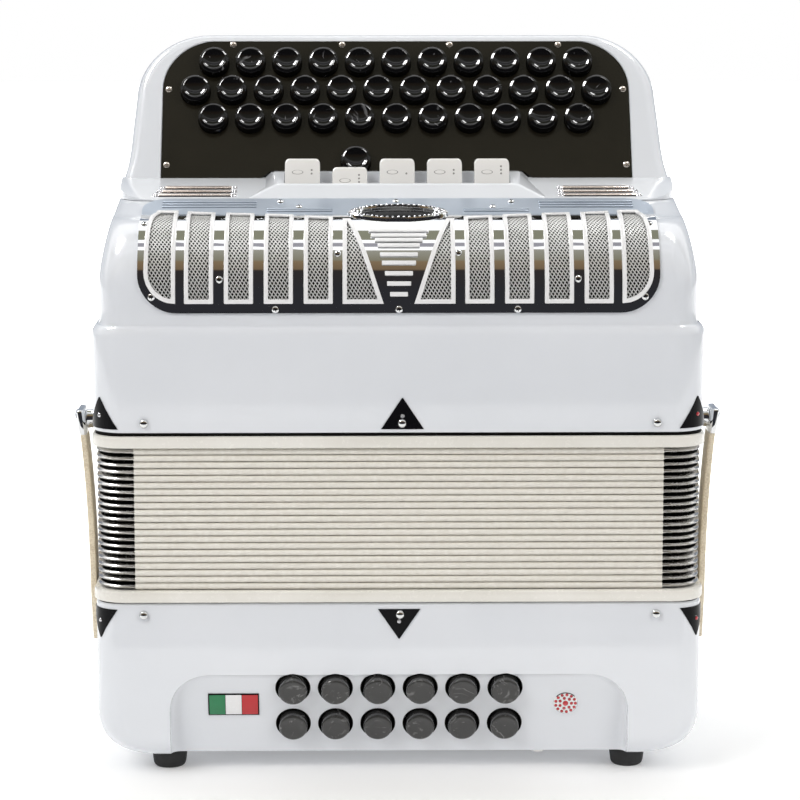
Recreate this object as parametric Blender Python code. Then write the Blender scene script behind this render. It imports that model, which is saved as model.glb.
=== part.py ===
"""Three-row button accordion that stands on the feet of its bass end, with the bellows closed.

Sizes are in millimetres and become metres when a piece is made. X runs along the instrument's
length, Y from the front (the grille side) to the back, Z up from the floor through the bass
casing, the bellows and the treble casing to the fingerboard.
"""

import math

import bmesh
import bpy
from mathutils import Matrix, Vector

MM = 0.001
GAP = 0.3  # clearance between two pieces that touch
WALL = 5.0

# Driving sizes
FRONT = -95.0  # front face; the back face is its mirror image
BACK = 95.0
FOOT_HEIGHT = 11.0
BASS_TOP = 95.7
BASS_HALF = 159.5
BASS_CORNER = 15.0  # radius of the upright corners
BASS_END_RADIUS = 24.0  # radius of the lower corners, seen from the front
BASS_EDGE_RADIUS = 12.0  # radius of the lower edges, seen from the side
BELLOWS_HALF = 159.0
FRAME_HALF = 161.2
FRAME_HEIGHT = 6.3
BELLOWS_LOW = 102.9
BELLOWS_HIGH = 178.7
FOLDS = 21
TREBLE_LOW = 187.0
TREBLE_HALF = 160.0
TREBLE_CORNER = 17.0
STEP_Z = 243.2  # ledge between the treble casing's two steps
STEP_INSET = 3.0
UPPER_HALF = 156.0
UPPER_CORNER = 15.0

# Treble casing's top: a quarter bend, a rising deck, then the lip up to the fingerboard
BEND_RADIUS = 37.0
BEND_Z = 259.6
DECK_BACK = 62.0  # distance of the deck's rear edge behind the front face
DECK_BACK_Z = 303.2

# Fingerboard: its plate leans back from the vertical
LEAN = math.radians(31)
PLATE_FOOT = 92.0  # distance of the plate's lower edge behind the front face
PLATE_FOOT_Z = 313.1
PLATE_LENGTH = 85.2
PLATE_HALF = 129.0
PLATE_CORNER = 30.0
PLATE_THICK = 1.5
RIM_TOP = 91.5  # length up the slope to the top of the case
CASE_CORNER = 40.0

# Treble buttons
BUTTON_PITCH = 20.2
ROW_STEP = BUTTON_PITCH * math.sin(math.radians(60))
FIRST_ROW = 35.7  # lowest row's distance up the plate
ROW_COUNTS = (11, 12, 11)
LOW_BUTTON = (-22.4, 9.3)
BUTTON_RADIUS = 7.9
BUTTON_HEIGHT = 6.0
BUTTON_STEM = 14.0
BUTTON_HOLE = 8.4
BUTTON_SIDES = 12

# Registers
REGISTER_PITCH = 25.7
REGISTER_HALF = 9.2
REGISTER_PLACE = (80.0, 306.2)  # distance behind the front face, height
REGISTER_LEAN = math.radians(22)
REGISTER_TRAVEL = 4.6
PRESSED_REGISTER = 2
HUMP_TOP_HALF = 68.0
HUMP_FOOT_HALF = 82.0
CHANNEL_HALF = 61.5
CHANNEL = (72.6, 86.6)

# Bass buttons stand on a slanted panel that is cut into the casing's front
PANEL_TOP_Z = 59.4
PANEL_LEAN = math.radians(18)
PANEL_HALF = 122.0
PANEL_ROWS = (11.0, 33.3)  # distances down the panel
BASS_PITCH = 22.6
BASS_COLUMNS = 6
BASS_RADIUS = 7.6
BASS_HOLE = 9.1
BASS_HEIGHT = 5.4

AIR_PLACE = (75.6, 28.0)  # from the middle, and behind the front face
FOOT_PLACE = (124.0, 29.0)  # from the middle, and from the front or back face
STRAP_PLACE = 45.0  # bellows strap's distance behind the front face
STRAP_WIDTH = 20.0
STRAP_THICK = 3.4
STRAP_LOW = 68.5
STRAP_HIGH = 193.5
STRAP_SPREAD = 6.8  # how far the snap holds the strap's top out


def clear_scene():
    for obj in list(bpy.data.objects):
        bpy.data.objects.remove(obj)


def new_collection(name):
    collection = bpy.data.collections.new(name)
    bpy.context.scene.collection.children.link(collection)
    return collection


clear_scene()
PARTS = new_collection("button_accordion")
CUTTERS = new_collection("cutters")


# ---------------------------------------------------------------- materials


def finish(name, color, roughness, metallic=0.0):
    material = bpy.data.materials.new(name)
    material.use_nodes = True
    shader = material.node_tree.nodes["Principled BSDF"]
    shader.inputs["Base Color"].default_value = (*color, 1.0)
    shader.inputs["Roughness"].default_value = roughness
    shader.inputs["Metallic"].default_value = metallic
    return material


WHITE_LACQUER = finish("white_lacquer", (0.80, 0.82, 0.84), 0.15)
BLACK_GLOSS = finish("black_gloss", (0.03, 0.03, 0.028), 0.12)
BLACK_PEARL = finish("black_pearl", (0.02, 0.02, 0.022), 0.10)
CHROME = finish("chrome", (0.78, 0.79, 0.80), 0.06, 1.0)
CREAM_FRAME = finish("cream_frame", (0.78, 0.74, 0.66), 0.30)
BELLOWS_CLOTH = finish("bellows_cloth", (0.76, 0.70, 0.60), 0.65)
STRAP_LEATHER = finish("strap_leather", (0.72, 0.60, 0.40), 0.55)
HAND_LEATHER = finish("hand_leather", (0.04, 0.035, 0.03), 0.50)
IVORY = finish("ivory_plastic", (0.80, 0.78, 0.74), 0.25)
RUBBER = finish("black_rubber", (0.03, 0.03, 0.03), 0.80)
REED_WOOD = finish("reed_wood", (0.62, 0.45, 0.26), 0.60)


# ---------------------------------------------------------------- outlines and solids


def arc(center, radius, start, end, steps):
    """Points of a circular or, with a pair of radii, an elliptical arc; angles in degrees."""
    wide, high = radius if isinstance(radius, tuple) else (radius, radius)
    points = []
    for i in range(steps + 1):
        angle = math.radians(start + (end - start) * i / steps)
        points.append((center[0] + wide * math.cos(angle), center[1] + high * math.sin(angle)))
    return points


def rounded_box(half_x, low_y, high_y, radius, steps=3):
    outline = arc((half_x - radius, low_y + radius), radius, -90, 0, steps)
    outline += arc((half_x - radius, high_y - radius), radius, 0, 90, steps)
    outline += arc((radius - half_x, high_y - radius), radius, 90, 180, steps)
    outline += arc((radius - half_x, low_y + radius), radius, 180, 270, steps)
    return outline


def prism(outline, axis, low, high):
    """A closed prism: the outline, in the two other axes' order, extruded along one axis."""
    across, up, along = {"X": (1, 2, 0), "Y": (0, 2, 1), "Z": (0, 1, 2)}[axis]
    bm = bmesh.new()
    corners = []
    for point in outline:
        place = Vector()
        place[across], place[up], place[along] = point[0], point[1], low
        corners.append(bm.verts.new(place))
    base = bm.faces.new(corners)
    made = bmesh.ops.extrude_face_region(bm, geom=[base])["geom"]
    shift = Vector()
    shift[along] = high - low
    bmesh.ops.translate(bm, verts=[v for v in made if isinstance(v, bmesh.types.BMVert)], vec=shift)
    return bm


def block(x, y, z):
    """A box from three (low, high) pairs."""
    outline = [(x[0], y[0]), (x[1], y[0]), (x[1], y[1]), (x[0], y[1])]
    return prism(outline, "Z", z[0], z[1])


def place_of(origin, x_axis, y_axis, z_axis):
    """A matrix in metres that puts a piece's own axes on the given ones."""
    turn = Matrix((x_axis, y_axis, z_axis)).transposed().to_4x4()
    return Matrix.Translation(Vector(origin) * MM) @ turn


def piece(name, bm, material, place=None):
    bmesh.ops.recalc_face_normals(bm, faces=bm.faces[:])
    bmesh.ops.scale(bm, vec=(MM, MM, MM), verts=bm.verts[:])
    mesh = bpy.data.meshes.new(name)
    bm.to_mesh(mesh)
    bm.free()
    if material:
        mesh.materials.append(material)
    obj = bpy.data.objects.new(name, mesh)
    PARTS.objects.link(obj)
    if place:
        obj.matrix_world = place
    return obj


def cutter(name, bm, place=None):
    obj = piece(name, bm, None, place)
    PARTS.objects.unlink(obj)
    CUTTERS.objects.link(obj)
    obj.hide_render = True
    obj.display_type = "WIRE"
    return obj


def combine(target, other, operation="DIFFERENCE"):
    modifier = target.modifiers.new(other.name, "BOOLEAN")
    modifier.operation = operation
    modifier.object = other


def cut(target, name, bm, place=None):
    combine(target, cutter(name, bm, place))


def keep_inside(target, name, bm, place=None):
    combine(target, cutter(name, bm, place), "INTERSECT")


def weld_on(target, name, bm, place=None):
    combine(target, cutter(name, bm, place), "UNION")


def lathe(profile, sides):
    """A closed turned solid about Z; the profile runs from the axis at the top to the axis below."""
    bm = bmesh.new()
    line = [bm.verts.new((radius, 0.0, height)) for radius, height in profile]
    edges = [bm.edges.new(pair) for pair in zip(line, line[1:])]
    bmesh.ops.spin(
        bm,
        geom=line + edges,
        cent=(0, 0, 0),
        axis=(0, 0, 1),
        angle=math.tau,
        steps=sides,
        use_merge=True,
    )
    bmesh.ops.remove_doubles(bm, verts=bm.verts[:], dist=1e-4)
    return bm


def rod(radius, low, high, sides=12):
    return lathe([(0, high), (radius, high), (radius, low), (0, low)], sides)


# ---------------------------------------------------------------- bass end


def panel_place(x, down, out=0.0):
    """A point of the slanted bass panel, with its own axes: X, up the panel, out of the panel."""
    normal = Vector((0, -math.cos(PANEL_LEAN), -math.sin(PANEL_LEAN)))
    upward = Vector((0, -math.sin(PANEL_LEAN), math.cos(PANEL_LEAN)))
    origin = Vector((x, FRONT, PANEL_TOP_Z)) - upward * down + normal * out
    return place_of(origin, Vector((1, 0, 0)), upward, normal)


def tub_outline(half, low, high, radius):
    """Front view of the bass casing: square on top, with large round lower corners."""
    return [
        (half, high),
        (-half, high),
        *arc((radius - half, low + radius), radius, 180, 270, 5),
        *arc((half - radius, low + radius), radius, 270, 360, 5),
    ]


def side_outline(front, back, low, high, radius):
    """Side view of the bass casing: its lower front and back edges are round."""
    return [
        (back, high),
        (front, high),
        *arc((front + radius, low + radius), radius, 180, 270, 4),
        *arc((back - radius, low + radius), radius, 270, 360, 4),
    ]


def panel_wedge(half, shift):
    """The wedge in front of the slanted panel, moved back by shift along its normal."""
    depth = 60.0
    radius = 22.0
    outline = [
        (half, -80),
        *arc((half - radius, -radius), radius, 0, 90, 4),
        *arc((radius - half, -radius), radius, 90, 180, 4),
        (-half, -80),
    ]
    return prism(outline, "Z", -shift, depth - shift)


def bass_casing():
    low = FOOT_HEIGHT
    plan = rounded_box(BASS_HALF, FRONT, BACK, BASS_CORNER, 4)
    casing = piece("bass_casing", prism(plan, "Z", low, BASS_TOP), WHITE_LACQUER)
    front_view = tub_outline(BASS_HALF + 0.01, low - 0.01, BASS_TOP + 10, BASS_END_RADIUS)
    keep_inside(casing, "bass_front_view", prism(front_view, "Y", FRONT - 5, BACK + 5))
    side_view = side_outline(FRONT - 0.01, BACK + 0.01, low - 0.01, BASS_TOP + 10, BASS_EDGE_RADIUS)
    keep_inside(casing, "bass_side_view", prism(side_view, "X", -BASS_HALF - 5, BASS_HALF + 5))
    plan = rounded_box(BASS_HALF - WALL, FRONT + WALL, BACK - WALL, BASS_CORNER - WALL, 3)
    hollow = cutter("bass_hollow", prism(plan, "Z", low + WALL, BASS_TOP + 5))
    radius = BASS_END_RADIUS - WALL
    front_view = tub_outline(BASS_HALF - WALL + 0.01, low + WALL - 0.01, BASS_TOP + 10, radius)
    keep_inside(hollow, "bass_hollow_front", prism(front_view, "Y", FRONT, BACK))
    cut(hollow, "panel_backing", panel_wedge(PANEL_HALF + WALL, WALL), panel_place(0, -WALL))
    combine(casing, hollow)
    cut(casing, "panel_cut", panel_wedge(PANEL_HALF, 0), panel_place(0, 0))
    for row, down in enumerate(PANEL_ROWS, 1):
        for column in range(BASS_COLUMNS):
            x = (column - (BASS_COLUMNS - 1) / 2) * BASS_PITCH
            name = f"bass_hole_{row}_{column + 1}"
            cut(casing, name, rod(BASS_HOLE, -12, 4, 16), panel_place(x, down))
    air = place_of((AIR_PLACE[0], FRONT + AIR_PLACE[1], 0), *Matrix.Identity(3))
    cut(casing, "air_hole", rod(4.4, 0, 22), air)


def bass_buttons():
    """Each row's six buttons stand on one rail behind the panel."""
    profile = [
        (0, BASS_HEIGHT - 0.5),
        (BASS_RADIUS - 2.2, BASS_HEIGHT),
        (BASS_RADIUS, BASS_HEIGHT - 1.2),
        (BASS_RADIUS, -9.5),
        (0, -9.5),
    ]
    rail_half = 0.5 * (BASS_COLUMNS - 1) * BASS_PITCH + 5
    for row, down in enumerate(PANEL_ROWS, 1):
        name = f"bass_button_row_{row}"
        rail = block((-rail_half, rail_half), (-3, 3), (-12, -8.5))
        buttons = piece(name, rail, BLACK_PEARL, panel_place(0, down))
        for column in range(BASS_COLUMNS):
            x = (column - (BASS_COLUMNS - 1) / 2) * BASS_PITCH
            weld_on(buttons, f"bass_button_{row}_{column + 1}", lathe(profile, 12), panel_place(x, down))


def air_button():
    place = place_of((AIR_PLACE[0], FRONT + AIR_PLACE[1], 0), *Matrix.Identity(3))
    low = 7.0
    inside = FOOT_HEIGHT + WALL + 0.5
    profile = [
        (0, inside + 2),
        (5.2, inside + 2),
        (5.2, inside),
        (3.8, inside),
        (3.8, low + 0.8),
        (3.0, low),
        (0, low),
    ]
    piece("air_button", lathe(profile, 12), IVORY, place)


def feet():
    top = FOOT_HEIGHT - GAP
    profile = [(0, top), (9.7, top), (8.9, 1.5), (7.6, 0), (0, 0)]
    across, deep = FOOT_PLACE
    for end, y in (("front", FRONT + deep), ("rear", BACK - deep)):
        for side, x in (("left", -across), ("right", across)):
            place = place_of((x, y, 0), *Matrix.Identity(3))
            piece(f"foot_{end}_{side}", lathe(profile, 16), RUBBER, place)


def hand_strap():
    """A flat leather strap that runs along the bass end between the feet."""
    half = 104.0
    top = FOOT_HEIGHT - GAP
    thick = 2.5
    low = 2.6
    drop = 12.0
    outline = [
        (-half, top),
        (-half, top - thick),
        (drop - half, top - thick),
        (drop - half + 10, low),
        (half - drop - 10, low),
        (half - drop, top - thick),
        (half, top - thick),
        (half, top),
        (half - drop - 1, top),
        (half - drop - 11, low + thick),
        (drop - half + 11, low + thick),
        (drop - half + 1, top),
    ]
    piece("hand_strap", prism(outline, "Y", -26, 26), HAND_LEATHER)


def bellows_straps():
    """Each strap turns on its lower end, on the bass casing's side, and its top reaches the snap."""
    inner = BASS_HALF + 0.6
    for side, sign in (("left", -1), ("right", 1)):
        outline = [
            (sign * inner, STRAP_LOW),
            (sign * (inner + STRAP_SPREAD), STRAP_HIGH),
            (sign * (inner + STRAP_SPREAD + STRAP_THICK), STRAP_HIGH),
            (sign * (inner + STRAP_THICK), STRAP_LOW),
        ]
        middle = FRONT + STRAP_PLACE
        strap = prism(outline, "Y", middle - STRAP_WIDTH / 2, middle + STRAP_WIDTH / 2)
        piece(f"bellows_strap_{side}", strap, STRAP_LEATHER)


# ---------------------------------------------------------------- bellows


def bellows_frame(name, low, slots):
    """A frame ring whose board carries the reed block; the slots let the air through."""
    grow = FRAME_HALF - BASS_HALF
    plan = rounded_box(FRAME_HALF, FRONT - grow, BACK + grow, 17, 4)
    frame = piece(name, prism(plan, "Z", low, low + FRAME_HEIGHT), CREAM_FRAME)
    for i, (x, y) in enumerate(slots, 1):
        cut(frame, f"{name}_slot_{i}", block(x, y, (low - 2, low + FRAME_HEIGHT + 2)))


def bellows():
    """A pleated card tube, open at both ends."""
    depth = 6.0
    sheet = 2.0
    levels = 2 * FOLDS + 1
    bm = bmesh.new()

    def ring(inset, z):
        corners = rounded_box(BELLOWS_HALF - inset, FRONT + 1 + inset, BACK - 1 - inset, 16 - inset, 2)
        verts = [bm.verts.new((x, y, z)) for x, y in corners]
        return [bm.edges.new((v, verts[i - 1])) for i, v in enumerate(verts)]

    rings = []
    for level in range(levels):
        z = BELLOWS_LOW + (BELLOWS_HIGH - BELLOWS_LOW) * level / (levels - 1)
        rings.append(ring(depth if level % 2 == 0 else 0.0, z))
    for level in reversed(range(levels)):
        z = BELLOWS_LOW + (BELLOWS_HIGH - BELLOWS_LOW) * level / (levels - 1)
        rings.append(ring(sheet + (depth if level % 2 == 0 else 0.0), z))
    for i, edges in enumerate(rings):
        bmesh.ops.bridge_loops(bm, edges=edges + rings[i - 1])
    piece("bellows", bm, BELLOWS_CLOTH)


def reed_blocks():
    """Combs of reed banks: the treble's hang into the bellows, the bass's stand beside them."""
    top = BELLOWS_HIGH
    deep = 128.0
    base = top - 6
    comb = [(FRONT + 30, top), (FRONT + 30, deep), (FRONT + 44, deep), (FRONT + 44, base)]
    comb += [(FRONT + 56, base), (FRONT + 56, deep), (FRONT + 70, deep), (FRONT + 70, base)]
    comb += [(FRONT + 82, base), (FRONT + 82, deep), (FRONT + 96, deep), (FRONT + 96, top)]
    piece("treble_reed_block", prism(comb, "X", -118, 118), REED_WOOD)
    low = BELLOWS_LOW
    high = 160.0
    base = low + 6
    comb = [(BACK - 75, low), (BACK - 25, low), (BACK - 25, high), (BACK - 41, high)]
    comb += [(BACK - 41, base), (BACK - 59, base), (BACK - 59, high), (BACK - 75, high)]
    piece("bass_reed_block", prism(comb, "X", -70, 70), REED_WOOD)


# ---------------------------------------------------------------- treble casing


def top_profile(inset, back):
    """Side view of the treble casing's upper step, offset inwards by inset."""
    front = FRONT + STEP_INSET
    bend = arc((front + BEND_RADIUS, BEND_Z), BEND_RADIUS - inset, 180, 90, 8)
    rear = (FRONT + DECK_BACK, DECK_BACK_Z - inset)
    return [*bend, rear, (back, DECK_BACK_Z - inset)]


def treble_front_view(half, low, top, radius):
    return [
        (half, low),
        *arc((half - radius, top - radius), radius, 0, 90, 4),
        *arc((radius - half, top - radius), radius, 90, 180, 4),
        (-half, low),
    ]


def treble_casing():
    plan = rounded_box(TREBLE_HALF, FRONT, BACK, TREBLE_CORNER, 4)
    casing = piece("treble_casing", prism(plan, "Z", TREBLE_LOW, STEP_Z), WHITE_LACQUER)
    front, back = FRONT + STEP_INSET, BACK - STEP_INSET
    plan = rounded_box(UPPER_HALF, front, back, UPPER_CORNER, 4)
    upper = cutter("treble_upper", prism(plan, "Z", STEP_Z - 4, DECK_BACK_Z))
    profile = [(back + 5, STEP_Z - 8), (front, STEP_Z - 8), *top_profile(0, back + 5)]
    keep_inside(upper, "treble_side_view", prism(profile, "X", -UPPER_HALF - 5, UPPER_HALF + 5))
    outline = treble_front_view(UPPER_HALF + 0.01, STEP_Z - 8, DECK_BACK_Z + 0.01, 14)
    keep_inside(upper, "treble_front_view", prism(outline, "Y", front - 5, back + 5))
    combine(casing, upper, "UNION")
    board = TREBLE_LOW + 6  # the pallet board is the casing's floor
    inner = UPPER_HALF - WALL
    profile = [(back - WALL, board), (front + WALL, board), *top_profile(WALL, back - WALL)]
    hollow = cutter("treble_hollow", prism(profile, "X", -inner, inner))
    outline = treble_front_view(inner + 0.01, board - 5, DECK_BACK_Z - WALL + 0.01, 10)
    keep_inside(hollow, "treble_hollow_front", prism(outline, "Y", front, back))
    combine(casing, hollow)
    window = (FRONT - 5, FRONT + DECK_BACK - 10)
    cut(casing, "sound_window", block((-127, 127), window, (257, DECK_BACK_Z + 5)))
    opening = (FRONT + PLATE_FOOT + 6, BACK - 16)
    cut(casing, "key_opening", block((-126, 126), opening, (290, DECK_BACK_Z + 5)))
    for i, y in enumerate((37, 63, 89), 1):
        slot = (FRONT + y - 3, FRONT + y + 3)
        cut(casing, f"pallet_slot_{i}", block((-110, 110), slot, (TREBLE_LOW - 3, board + 3)))


def grille_cover():
    """A bent sheet over the casing's front and deck, with twelve windows for the perforated panels."""
    sheet = 1.2
    half = 136.3
    low = 250.2
    corner = 20.5
    back = FRONT + DECK_BACK
    outer = [(FRONT + STEP_INSET - GAP - sheet, low), *top_profile(-GAP - sheet, back)[:-2]]
    inner = [(FRONT + STEP_INSET - GAP, low), *top_profile(-GAP, back)[:-2]]
    outer.append((back, DECK_BACK_Z + GAP + sheet))
    inner.append((back, DECK_BACK_Z + GAP))
    cover = piece("grille_cover", prism(outer + inner[::-1], "X", -half, half), CHROME)
    outline = [
        (half + 0.01, DECK_BACK_Z + 20),
        (-half - 0.01, DECK_BACK_Z + 20),
        *arc((corner - half, low + corner), corner + 0.01, 180, 270, 6),
        *arc((half - corner, low + corner), corner + 0.01, 270, 360, 6),
    ]
    keep_inside(cover, "grille_front_view", prism(outline, "Y", FRONT - 10, back + 10))
    # Five straight windows and a tapering one on each side of the middle
    window_low, window_back = 255.2, FRONT + 38
    for side in (-1, 1):
        for i in range(5):
            inner_x = 35.2 + i * 20.7
            x = sorted((side * inner_x, side * (inner_x + 14.5)))
            y, z = (FRONT - 10, window_back), (window_low, DECK_BACK_Z + 20)
            cut(cover, f"grille_window_{side + 2}_{i + 1}", block(x, y, z))
        outline = [(side * x, z) for x, z in ((8, window_low), (29.4, window_low), (29.4, 310), (24.6, 310))]
        taper = prism(outline, "Y", FRONT - 10, window_back)
        cut(cover, f"grille_taper_{side + 2}", taper)


# ---------------------------------------------------------------- fingerboard


def slope_place(x, up, out=0.0):
    """A point of the fingerboard's plate, with its own axes: X, up the slope, out of the plate."""
    upward = Vector((0, math.sin(LEAN), math.cos(LEAN)))
    normal = Vector((0, -math.cos(LEAN), math.sin(LEAN)))
    origin = Vector((x, FRONT + PLATE_FOOT, PLATE_FOOT_Z)) + upward * up + normal * out
    return place_of(origin, Vector((1, 0, 0)), upward, normal)


def slope_point(up, out=0.0):
    """The same point's Y and Z, for a side view."""
    y = FRONT + PLATE_FOOT + up * math.sin(LEAN) - out * math.cos(LEAN)
    return y, PLATE_FOOT_Z + up * math.cos(LEAN) + out * math.sin(LEAN)


def plate_outline(half, low, high, radius):
    return [
        (-half, low),
        (half, low),
        *arc((half - radius, high - radius), radius, 0, 90, 6),
        *arc((radius - half, high - radius), radius, 90, 180, 6),
    ]


def hump():
    """The raised ramp that carries the registers; its ends slope down to the lip."""
    section = [(63.5, 303.9), (71.6, 311.5), (86.9, 317.1), (94.2, 317.1), (92.0, 306.0)]
    bm = prism([(FRONT + y, z) for y, z in section], "X", -HUMP_FOOT_HALF, HUMP_FOOT_HALF)
    for vert in bm.verts:
        if vert.co.z > 311:
            vert.co.x = math.copysign(HUMP_TOP_HALF, vert.co.x)
    return bm


def fingerboard_case():
    base = DECK_BACK_Z + GAP
    back = BACK - STEP_INSET
    top_y, top_z = slope_point(RIM_TOP)
    profile = [
        (FRONT + DECK_BACK + GAP, base + 0.4),
        slope_point(0),
        (top_y, top_z),
        (top_y + 6, top_z + 1.5),
        (top_y + 22, top_z - 4),
        (back, 335),
        (back, base),
        (FRONT + DECK_BACK + GAP, base),
    ]
    case = piece("fingerboard_case", prism(profile, "X", -153, 153), WHITE_LACQUER)
    corner = (CASE_CORNER, CASE_CORNER * math.cos(LEAN))
    top = top_z + 2
    right = [(151.5, base - 1), (151.5, 313), (148, 323.5), (145.5, 343)]
    right += arc((143.8 - corner[0], top - corner[1]), corner, 0, 90, 8)
    outline = right + [(-x, z) for x, z in reversed(right)]
    keep_inside(case, "case_front_view", prism(outline, "Y", FRONT, BACK + 5))
    weld_on(case, "register_hump", hump())
    inside = 6.0
    hollow = [
        (FRONT + PLATE_FOOT + 8, base - 3),
        slope_point(3, -inside),
        slope_point(PLATE_LENGTH - 4, -inside),
        (top_y + 16, top_z - 10),
        (back - WALL, 333),
        (back - WALL, base - 3),
    ]
    cut(case, "case_hollow", prism(hollow, "X", -126, 126))
    recess = plate_outline(PLATE_HALF + GAP, -GAP, PLATE_LENGTH + GAP, PLATE_CORNER + GAP)
    cut(case, "plate_recess", prism(recess, "Z", -PLATE_THICK - GAP, 20), slope_place(0, 0))
    window = plate_outline(PLATE_HALF - 6, 3.5, PLATE_LENGTH - 6, PLATE_CORNER - 6)
    cut(case, "plate_window", prism(window, "Z", -14, 5), slope_place(0, 0))
    y = (FRONT + CHANNEL[0], FRONT + CHANNEL[1])
    cut(case, "register_channel", block((-CHANNEL_HALF, CHANNEL_HALF), y, (300, 330)))
    # The low button stands partly over the plate's foot
    cut(case, "low_button_notch", rod(BUTTON_HOLE, -14, 12), slope_place(*LOW_BUTTON))


def button_spots():
    """(name, x, distance up the plate) of each treble button, the lowest row first."""
    spots = [("treble_button_0_1", *LOW_BUTTON)]
    for row, count in enumerate(ROW_COUNTS, 1):
        for i in range(count):
            x = (i - (count - 1) / 2) * BUTTON_PITCH
            spots.append((f"treble_button_{row}_{i + 1}", x, FIRST_ROW + (row - 1) * ROW_STEP))
    return spots


def button_plate():
    outline = plate_outline(PLATE_HALF, 0, PLATE_LENGTH, PLATE_CORNER)
    plate = piece("button_plate", prism(outline, "Z", -PLATE_THICK, 0), BLACK_GLOSS, slope_place(0, 0))
    # The register ramp's rear wall stands in front of the plate's foot
    top = HUMP_TOP_HALF + 1
    foot = [(-HUMP_FOOT_HALF, -5), (HUMP_FOOT_HALF, -5), (top, 4.4), (-top, 4.4)]
    cut(plate, "plate_foot", prism(foot, "Z", -5, 5), slope_place(0, 0))
    for name, x, up in button_spots():
        cut(plate, f"hole_{name}", rod(BUTTON_HOLE, -6, 6), slope_place(x, up))


def treble_buttons():
    profile = [
        (0, BUTTON_HEIGHT - 0.7),
        (BUTTON_RADIUS - 2.2, BUTTON_HEIGHT),
        (BUTTON_RADIUS, BUTTON_HEIGHT - 1.0),
        (BUTTON_RADIUS, -2.8),
        (2.4, -2.8),
        (2.4, -BUTTON_STEM),
        (0, -BUTTON_STEM),
    ]
    for name, x, up in button_spots():
        piece(name, lathe(profile, BUTTON_SIDES), BLACK_PEARL, slope_place(x, up))


def registers():
    """Caps that slide down into the ramp's channel; one of them is pressed."""
    place = Vector((0, FRONT + REGISTER_PLACE[0], REGISTER_PLACE[1]))
    upward = Vector((0, math.sin(REGISTER_LEAN), math.cos(REGISTER_LEAN)))
    backward = Vector((0, math.cos(REGISTER_LEAN), -math.sin(REGISTER_LEAN)))
    cap = [(-8.0, 2.5), (-8.0, 16.3), (-7.3, 17.2), (-5.7, 16.9), (-5.4, 9.0)]
    cap += [(1.6, 6.6), (1.6, 4.6), (-1.6, 4.4), (-5.6, 2.5)]
    for number in range(1, 6):
        drop = REGISTER_TRAVEL if number == PRESSED_REGISTER else 0
        origin = place + Vector(((number - 3) * REGISTER_PITCH, 0, -drop))
        slider = prism(cap, "X", -REGISTER_HALF, REGISTER_HALF)
        piece(f"register_{number}", slider, IVORY, place_of(origin, Vector((1, 0, 0)), backward, upward))


bass_casing()
bass_buttons()
air_button()
feet()
hand_strap()
bellows_straps()
bellows_frame("bass_bellows_frame", BASS_TOP + 0.6, [((-100, 100), (BACK - 70, BACK - 30))])
bellows_frame("treble_bellows_frame", BELLOWS_HIGH + GAP, [((-112, 112), (FRONT + 32, FRONT + 94))])
bellows()
reed_blocks()
treble_casing()
grille_cover()
fingerboard_case()
button_plate()
treble_buttons()
registers()
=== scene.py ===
"""Finished looks of a three-row button accordion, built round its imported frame.

Sizes are in millimetres and become metres when a piece is made. X runs along the instrument,
Y from the grille side to the player's side, Z up from the floor to the fingerboard.
"""

import math

import bmesh
import bpy
from mathutils import Matrix, Vector


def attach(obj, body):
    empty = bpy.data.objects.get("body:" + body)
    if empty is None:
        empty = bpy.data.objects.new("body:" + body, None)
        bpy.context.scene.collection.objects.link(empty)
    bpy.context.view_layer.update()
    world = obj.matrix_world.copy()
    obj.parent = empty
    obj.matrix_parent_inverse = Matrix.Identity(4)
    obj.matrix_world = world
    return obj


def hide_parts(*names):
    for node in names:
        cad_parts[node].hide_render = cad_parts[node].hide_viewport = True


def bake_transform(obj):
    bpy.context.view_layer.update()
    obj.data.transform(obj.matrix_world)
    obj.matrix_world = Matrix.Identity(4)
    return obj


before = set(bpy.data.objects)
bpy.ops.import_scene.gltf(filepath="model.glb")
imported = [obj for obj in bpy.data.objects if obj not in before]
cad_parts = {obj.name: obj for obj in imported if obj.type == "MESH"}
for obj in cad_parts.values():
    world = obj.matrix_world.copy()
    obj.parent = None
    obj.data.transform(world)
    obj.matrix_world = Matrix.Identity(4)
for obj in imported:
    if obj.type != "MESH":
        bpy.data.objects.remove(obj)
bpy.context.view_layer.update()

MM = 0.001
FRONT = -95.0
BACK = 95.0
BASS = "bass_section"
TREBLE = "treble_section"


# ---------------------------------------------------------------- shader node groups


def new_group(name, inputs, outputs):
    tree = bpy.data.node_groups.new(name, "ShaderNodeTree")
    for label, value in inputs:
        socket = tree.interface.new_socket(label, in_out="INPUT", socket_type="NodeSocketFloat")
        socket.default_value = value
    for label, kind in outputs:
        tree.interface.new_socket(label, in_out="OUTPUT", socket_type=kind)
    return tree, tree.nodes.new("NodeGroupInput"), tree.nodes.new("NodeGroupOutput")


def node(tree, kind, values=None, **settings):
    made = tree.nodes.new(kind)
    for key, value in settings.items():
        setattr(made, key, value)
    for key, value in (values or {}).items():
        made.inputs[key].default_value = value
    return made


def math_node(tree, operation, first, second):
    """A math node; each operand is a socket or a number."""
    made = node(tree, "ShaderNodeMath", operation=operation)
    for socket, operand in zip(made.inputs, (first, second)):
        if isinstance(operand, (int, float)):
            socket.default_value = operand
        else:
            tree.links.new(operand, socket)
    return made.outputs[0]


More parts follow.
